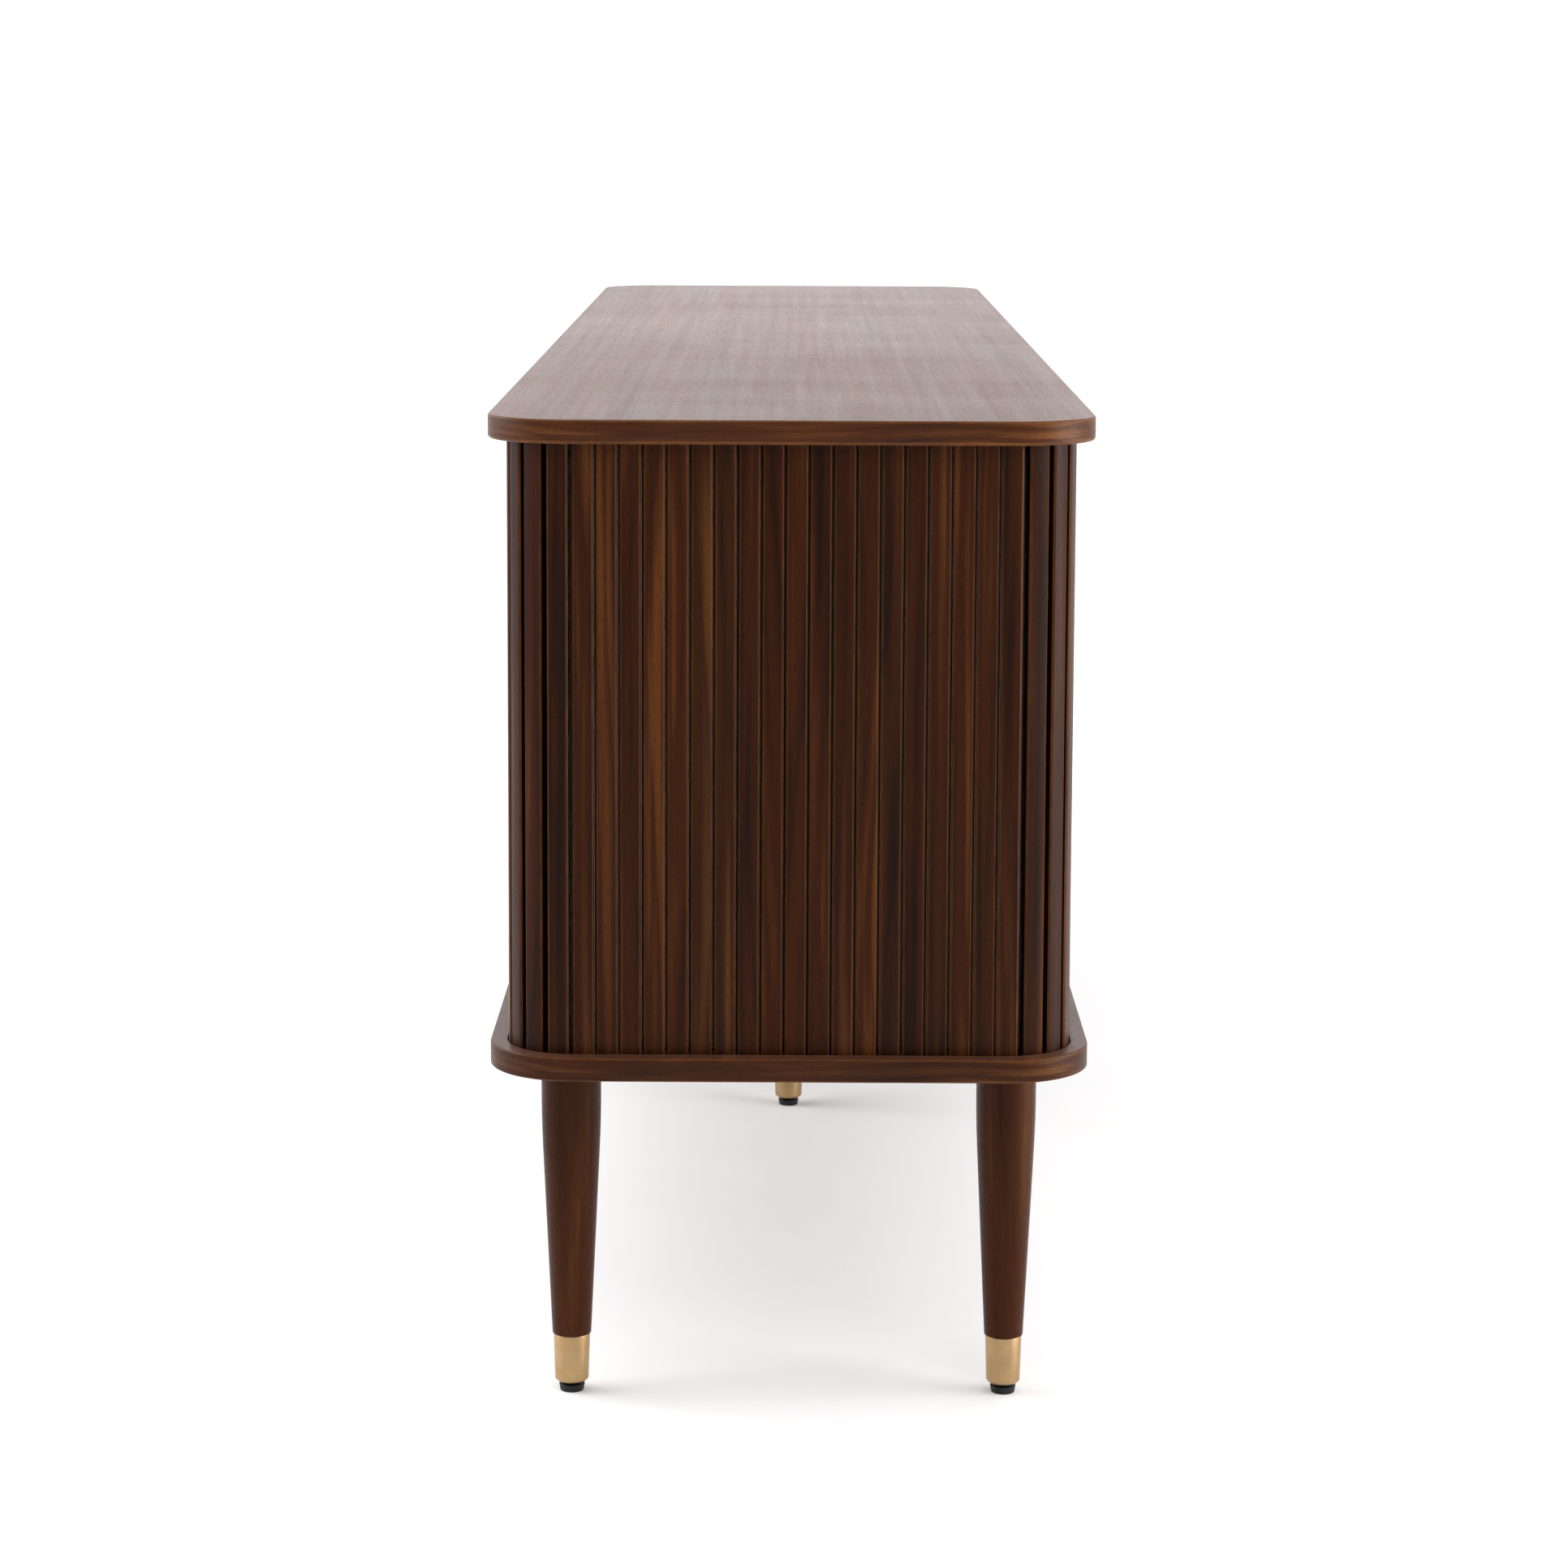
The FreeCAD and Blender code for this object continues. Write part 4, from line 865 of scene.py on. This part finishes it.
def leg_profile(top, bottom):
    """Radius and height up the leg: a straight taper, a long swell and a straight top."""
    size = sizes()
    top_radius = box_size("centre_leg").x / 2
    shoulder = top - size.leg_straight
    centre = Vector((top_radius - size.leg_swell, shoulder))
    to_foot = Vector((size.leg_foot_radius, bottom)) - centre
    end_angle = math.atan2(to_foot.y, to_foot.x) + math.acos(size.leg_swell / to_foot.length)
    steps = 14
    swell = []
    for i in range(steps + 1):
        angle = end_angle * (1 - i / steps)
        swell.append((centre.x + size.leg_swell * math.cos(angle),
                      centre.y + size.leg_swell * math.sin(angle)))
    foot = rounded([(0.0, bottom), (size.leg_foot_radius, bottom), swell[0]], 0.001)
    return foot[:-1] + swell + [(top_radius, top), (0.0, top)]


def make_leg(place_name, index):
    node = f"{place_name}_leg"
    centre = spread(node)
    _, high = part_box(node)
    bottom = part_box(f"{place_name}_ferrule")[1].z
    shape = lathe(leg_profile(high.z, bottom), centre, 80)
    turn = math.radians(40 * index)

    def grain(_, spot):
        x, y = spot.x - centre[0], spot.y - centre[1]
        return (spot.z + 1.7 * index, x * math.cos(turn) - y * math.sin(turn) + 0.9 * index,
                x * math.sin(turn) + y * math.cos(turn))

    item = object_from(node + "_turned", shape, grain)
    finish_piece(item, "leg_walnut", CARCASE, (node,), 40)


def make_ferrule(place_name):
    """A tapered brass cup with a softened lip and a chamfered foot."""
    node = f"{place_name}_ferrule"
    low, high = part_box(node)
    top_radius, lip = (high.x - low.x) / 2, sizes().ferrule_lip
    chamfer = 0.002
    hole = 0.0041
    outline = [(hole, low.z + 0.001), (hole, low.z), (lip - chamfer, low.z), (lip, low.z + chamfer),
               (top_radius, high.z), (top_radius - 0.0012, high.z), (top_radius - 0.0012, high.z - 0.001)]
    profile = [(0.0, low.z + 0.001)] + rounded(outline, 0.0004, 3) + [(0.0, high.z - 0.001)]
    item = object_from(node + "_cup", lathe(profile, spread(node), 80))
    finish_piece(item, "brass", CARCASE, (node,), 40)


def make_foot(place_name):
    """A plastic pad with a neck, and the threaded stem that screws it into the leg."""
    node = f"{place_name}_foot"
    low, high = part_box(node)
    body = f"{place_name}_foot_body"
    radius = (high.x - low.x) / 2
    neck_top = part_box(f"{place_name}_ferrule")[0].z
    neck = 0.65 * radius
    outline = [(0.0, 0.0), (0.9 * radius, 0.0), (radius, 0.0052), (0.97 * radius, 0.0056), (neck, 0.006),
               (neck, neck_top), (0.0, neck_top)]
    pad = object_from(node + "_pad", lathe(rounded(outline, 0.0006, 3), spread(node), 64))
    finish_piece(pad, "black_plastic", body, (node,), 35)

    stem_radius, pitch, depth = 0.004, sizes().thread_pitch, 0.00055
    segments, per_turn = 32, 6
    centre = spread(node)
    rows = int((high.z - neck_top) / pitch * per_turn)
    rings = []
    for k in range(rows + 1):
        height = neck_top + (high.z - neck_top) * k / rows
        ring = []
        for i in range(segments):
            phase = (k / per_turn - i / segments) % 1.0
            r = stem_radius - depth * abs(2 * phase - 1)
            angle = 2 * math.pi * i / segments
            ring.append((centre[0] + r * math.cos(angle), centre[1] + r * math.sin(angle), height))
        rings.append(ring)
    shape = bmesh.new()
    loft(shape, rings)
    stem = object_from(node + "_stem", shape)
    finish_piece(stem, "steel", body, (), 60)


# ---- fixings ----

def screw_head_mesh(radius, depth):
    """A pan head with a cross recess, facing down, its seat at height 0."""
    shape = bmesh.new()
    crown = -depth
    stations = ((1.0, 0.0), (1.0, 0.6), (0.93, 0.9), (0.8, 1.0))
    rings = [circle((0, 0), radius * share, crown * drop, HOLE_SIDES) for share, drop in stations]
    rows = loft(shape, rings, close_end=False)
    arm, half = 0.52 * radius, 0.11 * radius
    cross = [(arm, half), (half, half), (half, arm), (-half, arm), (-half, half), (-arm, half),
             (-arm, -half), (-half, -half), (-half, -arm), (half, -arm), (half, -half), (arm, -half)]
    recess = loft(shape, [[(x * share, y * share, crown * drop) for x, y in cross]
                          for share, drop in ((1.0, 1.0), (0.8, 0.25))], close_start=False)
    edges = edges_within(rows[-1]) + edges_within(recess[0])
    bmesh.ops.triangle_fill(shape, use_beauty=True, use_dissolve=False, edges=edges)
    bmesh.ops.recalc_face_normals(shape, faces=shape.faces)
    mesh = bpy.data.meshes.new("screw_head")
    shape.to_mesh(mesh)
    shape.free()
    return mesh


def copies_tree():
    """Geometry nodes that put one shape at every point, with a turn of its own."""
    made = bpy.data.node_groups.get("Screw places")
    if made:
        return made
    group = bpy.data.node_groups.new("Screw places", "GeometryNodeTree")
    for name, kind in (("Geometry", "NodeSocketGeometry"), ("Shape", "NodeSocketObject"),
                       ("Seed", "NodeSocketInt"), ("Material", "NodeSocketMaterial")):
        group.interface.new_socket(name, in_out="INPUT", socket_type=kind)
    group.interface.new_socket("Geometry", in_out="OUTPUT", socket_type="NodeSocketGeometry")
    tree = Tree(group)
    given = tree.add("NodeGroupInput").outputs
    shape = tree.add("GeometryNodeObjectInfo", {"Object": given["Shape"]})
    turn = tree.add("FunctionNodeRandomValue", {2: 0.0, 3: 6.283, "Seed": given["Seed"]}, data_type="FLOAT")
    spin = tree.add("ShaderNodeCombineXYZ", {2: turn.outputs[1]})
    points = tree.add("GeometryNodeMeshToPoints", {0: given["Geometry"]})
    copies = tree.add("GeometryNodeInstanceOnPoints", {
        "Points": points.outputs[0], "Instance": shape.outputs["Geometry"], "Rotation": spin.outputs[0]})
    real = tree.add("GeometryNodeRealizeInstances", {0: copies.outputs[0]})
    painted = tree.add("GeometryNodeSetMaterial", {
        "Geometry": real.outputs[0], "Material": given["Material"]})
    out = tree.add("NodeGroupOutput")
    tree.tree.links.new(painted.outputs[0], out.inputs[0])
    return group


def make_screws(name, spots, radius, depth, node, turned=None):
    """Screw heads at the spots; turned lays the heads, made facing down, towards another way."""
    seed_shape = bpy.data.objects.new("screw_head", screw_head_mesh(radius, depth))
    bpy.context.scene.collection.objects.link(seed_shape)
    cloud = bpy.data.meshes.new(name + "_spots")
    cloud.from_pydata([tuple(turned.inverted() @ spot if turned else spot) for spot in spots], [], [])
    host = bpy.data.objects.new(name + "_host", cloud)
    values = {"Shape": seed_shape, "Seed": 5, "Material": finish_for("steel")}
    item = nodes_result(name, copies_tree(), values, host)
    bpy.data.objects.remove(seed_shape)
    if turned:
        item.data.transform(turned)
    return finish_piece(item, "steel", CARCASE, (node,))


def base_screw_spots():
    """The base screws' places on the base board's underside."""
    size = sizes()
    spots = []
    for upright in UPRIGHTS:
        low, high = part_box(upright)
        x, y = (low.x + high.x) / 2, (low.y + high.y) / 2
        spots.extend((x, y + step * size.fixing_pitch) for step in (-1.5, -0.5, 0.5, 1.5))
    return spots


# ---- operators ----

class BuildStep:
    """What the sideboard's operators share."""
    bl_options = {"REGISTER", "UNDO"}


class SIDEBOARD_OT_stage(BuildStep, bpy.types.Operator):
    """Lay the pale floor, hang the soft lights and set the camera"""
    bl_idname = "sideboard.stage"
    bl_label = "Stage"

    def execute(self, context):
        make_floor()
        make_lights()
        make_camera()
        return {"FINISHED"}


class SIDEBOARD_OT_boards(BuildStep, bpy.types.Operator):
    """Make the top board and the base board"""
    bl_idname = "sideboard.boards"
    bl_label = "Boards"

    def execute(self, context):
        size = sizes()
        make_board("top_board", "edge_walnut", False, size.under_arris)
        head_depth = box_size("base_screws").z - BASE_SCREW_LENGTH
        holes = [(x, y, size.screw_head + HEAD_CLEARANCE, head_depth) for x, y in base_screw_spots()]
        # the base board's edge takes the darker copy of the edge walnut, painted shade
        make_board("base_board", "base_edge_walnut_painted_shade", True, size.arris, holes)
        return {"FINISHED"}


class SIDEBOARD_OT_tambour(BuildStep, bpy.types.Operator):
    """Stand the slats along their track and hang the cloth behind them"""
    bl_idname = "sideboard.tambour"
    bl_label = "Tambour"

    def execute(self, context):
        size = sizes()
        for name, side in SIDES.items():
            lead, seed = f"{name}_door_lead", 11 + side
            runs = {"lead": (0, size.lead_slats), "front": (size.lead_slats, size.front_slats),
                    "end": (size.front_slats, size.door_slats)}
            made = {}
            for step, (run, (first, last)) in enumerate(runs.items()):
                body = lead if run == "lead" else CARCASE
                made[run] = make_slats(f"{name}_{run}_slats_finish", side, first, last - first,
                                       size.slat_width, body, "slat_walnut", (f"{name}_{run}_slats",),
                                       seed + 20 * step)
            squash_with_door(made["front"])
            make_slats(f"{name}_stile_finish", side, 0, 1, STILE_HIGH.x - STILE_LOW.x, lead, "solid_walnut",
                       (f"{name}_lead_stile",), seed + 60, STILE_LOW.x)
            cloths = {"front": make_front_canvas(name)}
            for run in ("lead", "end"):
                cloths[run] = paint_node(f"{name}_{run}_canvas", "canvas")
        return {"FINISHED"}


class SIDEBOARD_OT_pulls(BuildStep, bpy.types.Operator):
    """Shape the two wooden pulls"""
    bl_idname = "sideboard.pulls"
    bl_label = "Pulls"

    def execute(self, context):
        for name in SIDES:
            make_pull(name)
        return {"FINISHED"}


class SIDEBOARD_OT_carcase(BuildStep, bpy.types.Operator):
    """Finish the uprights, backs and shelves"""
    bl_idname = "sideboard.carcase"
    bl_label = "Carcase"

    def execute(self, context):
        for node in UPRIGHTS:
            paint_node(node, "upright_walnut")
        for node in ("inner_back_panel", "outer_back_panel"):
            paint_node(node, "panel_walnut")
        for name in SIDES:
            make_shelf(name)
        return {"FINISHED"}


class SIDEBOARD_OT_legs(BuildStep, bpy.types.Operator):
    """Turn the legs and make their ferrules and feet"""
    bl_idname = "sideboard.legs"
    bl_label = "Legs"

    def execute(self, context):
        for index, name in enumerate(LEGS):
            make_leg(name, index)
            make_ferrule(name)
            make_foot(name)
        return {"FINISHED"}


class SIDEBOARD_OT_fixings(BuildStep, bpy.types.Operator):
    """Make the screws and finish the other fixings"""
    bl_idname = "sideboard.fixings"
    bl_label = "Fixings"

    def execute(self, context):
        size = sizes()
        head_depth = box_size("base_screws").z - BASE_SCREW_LENGTH
        seat = BASE_LOW.z + head_depth
        make_screws("base_screw_heads", [Vector((x, y, seat)) for x, y in base_screw_spots()],
                    size.screw_head, head_depth - HEAD_CLEARANCE, "base_screws")
        low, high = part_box("back_screws")
        back_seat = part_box("inner_back_panel")[1].y
        heights = (low.z + BACK_SCREW_HEAD, (low.z + high.z) / 2, high.z - BACK_SCREW_HEAD)
        spots = [Vector(((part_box(node)[0].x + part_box(node)[1].x) / 2, back_seat, height))
                 for node in UPRIGHTS for height in heights]
        turned = Matrix.Rotation(math.pi / 2, 4, "X")
        make_screws("back_screw_heads", spots, BACK_SCREW_HEAD, high.y - back_seat, "back_screws", turned)
        for node in ("shelf_pins", "leg_bolts"):
            paint_node(node, "steel")
        paint_node("leg_inserts", "bright_brass")
        for node in ("top_dowels", "end_stops"):
            paint_node(node, "beech")
        return {"FINISHED"}


# ---- stage ----

def make_floor():
    bpy.ops.mesh.primitive_plane_add(size=80, location=(0, 0, 0))
    floor = bpy.context.object
    floor.name = "studio_floor"
    material, tree, shader = new_material("studio_floor")
    soft = tree.noise(tree.add("ShaderNodeTexCoord").outputs["Object"], 3.0, 3)
    tree.set(shader, "Base Color", tree.ramp(soft, ((0.3, (0.86, 0.86, 0.865)), (0.7, (0.88, 0.88, 0.88)))))
    shader.inputs["Roughness"].default_value = 0.55
    shader.inputs["Specular IOR Level"].default_value = 0.25
    floor.data.materials.append(material)


def area_light(name, spot, aim, width, height, power):
    light = bpy.data.lights.new(name, "AREA")
    light.shape = "RECTANGLE"
    light.size, light.size_y, light.energy = width, height, power
    item = bpy.data.objects.new(name, light)
    item.location = spot
    item.rotation_mode = "QUATERNION"
    item.rotation_quaternion = (Vector(aim) - Vector(spot)).to_track_quat("-Z", "Y")
    item.visible_camera = False
    bpy.context.scene.collection.objects.link(item)


def make_lights():
    """A white room that is dim at the near end, a soft box on each side and one above the near end."""
    world = bpy.data.worlds.new("white_room")
    world.use_nodes = True
    tree = Tree(world.node_tree)
    back = next(node for node in world.node_tree.nodes if node.type == "BACKGROUND")
    ways = tree.add("ShaderNodeSeparateXYZ", {0: tree.add("ShaderNodeTexCoord").outputs["Generated"]}).outputs
    nearness = tree.maths("SUBTRACT", ways[0], tree.maths("MULTIPLY", ways[2], 1.1))
    room = tree.add("ShaderNodeMapRange", {"Value": nearness, "From Min": -0.6, "From Max": 0.4,
                                           "To Min": 1.45, "To Max": 0.07}, interpolation_type="SMOOTHSTEP")
    leaning = tree.add("ShaderNodeMapRange", {"Value": ways[1], "From Min": -1.0, "From Max": 1.0,
                                              "To Min": 1.25, "To Max": 0.85})
    strength = tree.maths("MULTIPLY", room.outputs[0], leaning.outputs[0])
    seen = tree.add("ShaderNodeLightPath").outputs["Is Camera Ray"]
    shown = tree.add("ShaderNodeMix", {0: seen, 2: strength, 3: 1.1}, data_type="FLOAT").outputs[0]
    tree.set(back, "Color", (1, 1, 1, 1))
    tree.set(back, "Strength", shown)
    bpy.context.scene.world = world
    bpy.context.scene.view_settings.view_transform = "Standard"
    area_light("left_side", (0.4, -3.0, 1.6), (0.3, 0, 0.4), 3.0, 1.6, 74)
    area_light("right_side", (1.3, 2.6, 0.7), (0.8, 0, 0.5), 1.7, 1.5, 62)
    area_light("near_end", (4.2, 1.1, 2.9), (0.9, 0, 0.5), 2.2, 1.4, 44)


def make_camera():
    """The camera stands a little above the top, off the right-hand end, and looks along the sideboard."""
    lens_distance, rise, aside = 2.8688, 0.2374, -0.0008
    pan, tilt, roll = -0.0015, 0.1246, 0.0043
    forward = Vector((-math.cos(pan) * math.cos(tilt), math.sin(pan) * math.cos(tilt), -math.sin(tilt)))
    level = Vector((math.sin(pan), math.cos(pan), 0))
    upright = level.cross(forward)
    across = level * math.cos(roll) + upright * math.sin(roll)
    upward = upright * math.cos(roll) - level * math.sin(roll)
    data = bpy.data.cameras.new("camera")
    data.sensor_width, data.lens, data.shift_y = 36.0, 91.19, -0.1252
    camera = bpy.data.objects.new("camera", data)
    turn = Matrix((across, upward, -forward)).transposed().to_4x4()
    spot = Vector((BOARD_HIGH.x + lens_distance, aside, BOARD_HIGH.z + rise))
    camera.matrix_world = Matrix.Translation(spot) @ turn
    bpy.context.scene.collection.objects.link(camera)
    bpy.context.scene.camera = camera


# ---- panel and registration ----

STEPS = (SIDEBOARD_OT_stage, SIDEBOARD_OT_boards, SIDEBOARD_OT_tambour, SIDEBOARD_OT_pulls,
         SIDEBOARD_OT_carcase, SIDEBOARD_OT_legs, SIDEBOARD_OT_fixings)


class SIDEBOARD_PT_build(bpy.types.Panel):
    """The sideboard's steps in the 3D view's sidebar"""
    bl_idname = "SIDEBOARD_PT_build"
    bl_label = "Tambour sideboard"
    bl_space_type = "VIEW_3D"
    bl_region_type = "UI"
    bl_category = "Sideboard"

    def draw(self, context):
        for step in STEPS:
            self.layout.operator(step.bl_idname)
        for group in (context.scene.sideboard_sizes, context.scene.sideboard_finishes):
            for name in group.__annotations__:
                self.layout.prop(group, name)


CLASSES = (SideboardSizes, SideboardFinishes, *STEPS, SIDEBOARD_PT_build)


def register():
    for item in CLASSES:
        bpy.utils.register_class(item)
    bpy.types.Scene.sideboard_sizes = PointerProperty(type=SideboardSizes)
    bpy.types.Scene.sideboard_finishes = PointerProperty(type=SideboardFinishes)


def unregister():
    del bpy.types.Scene.sideboard_finishes
    del bpy.types.Scene.sideboard_sizes
    for item in reversed(CLASSES):
        bpy.utils.unregister_class(item)


def main():
    register()
    for step in STEPS:
        group, name = step.bl_idname.split(".")
        getattr(getattr(bpy.ops, group), name)()


if __name__ == "__main__":
    main()
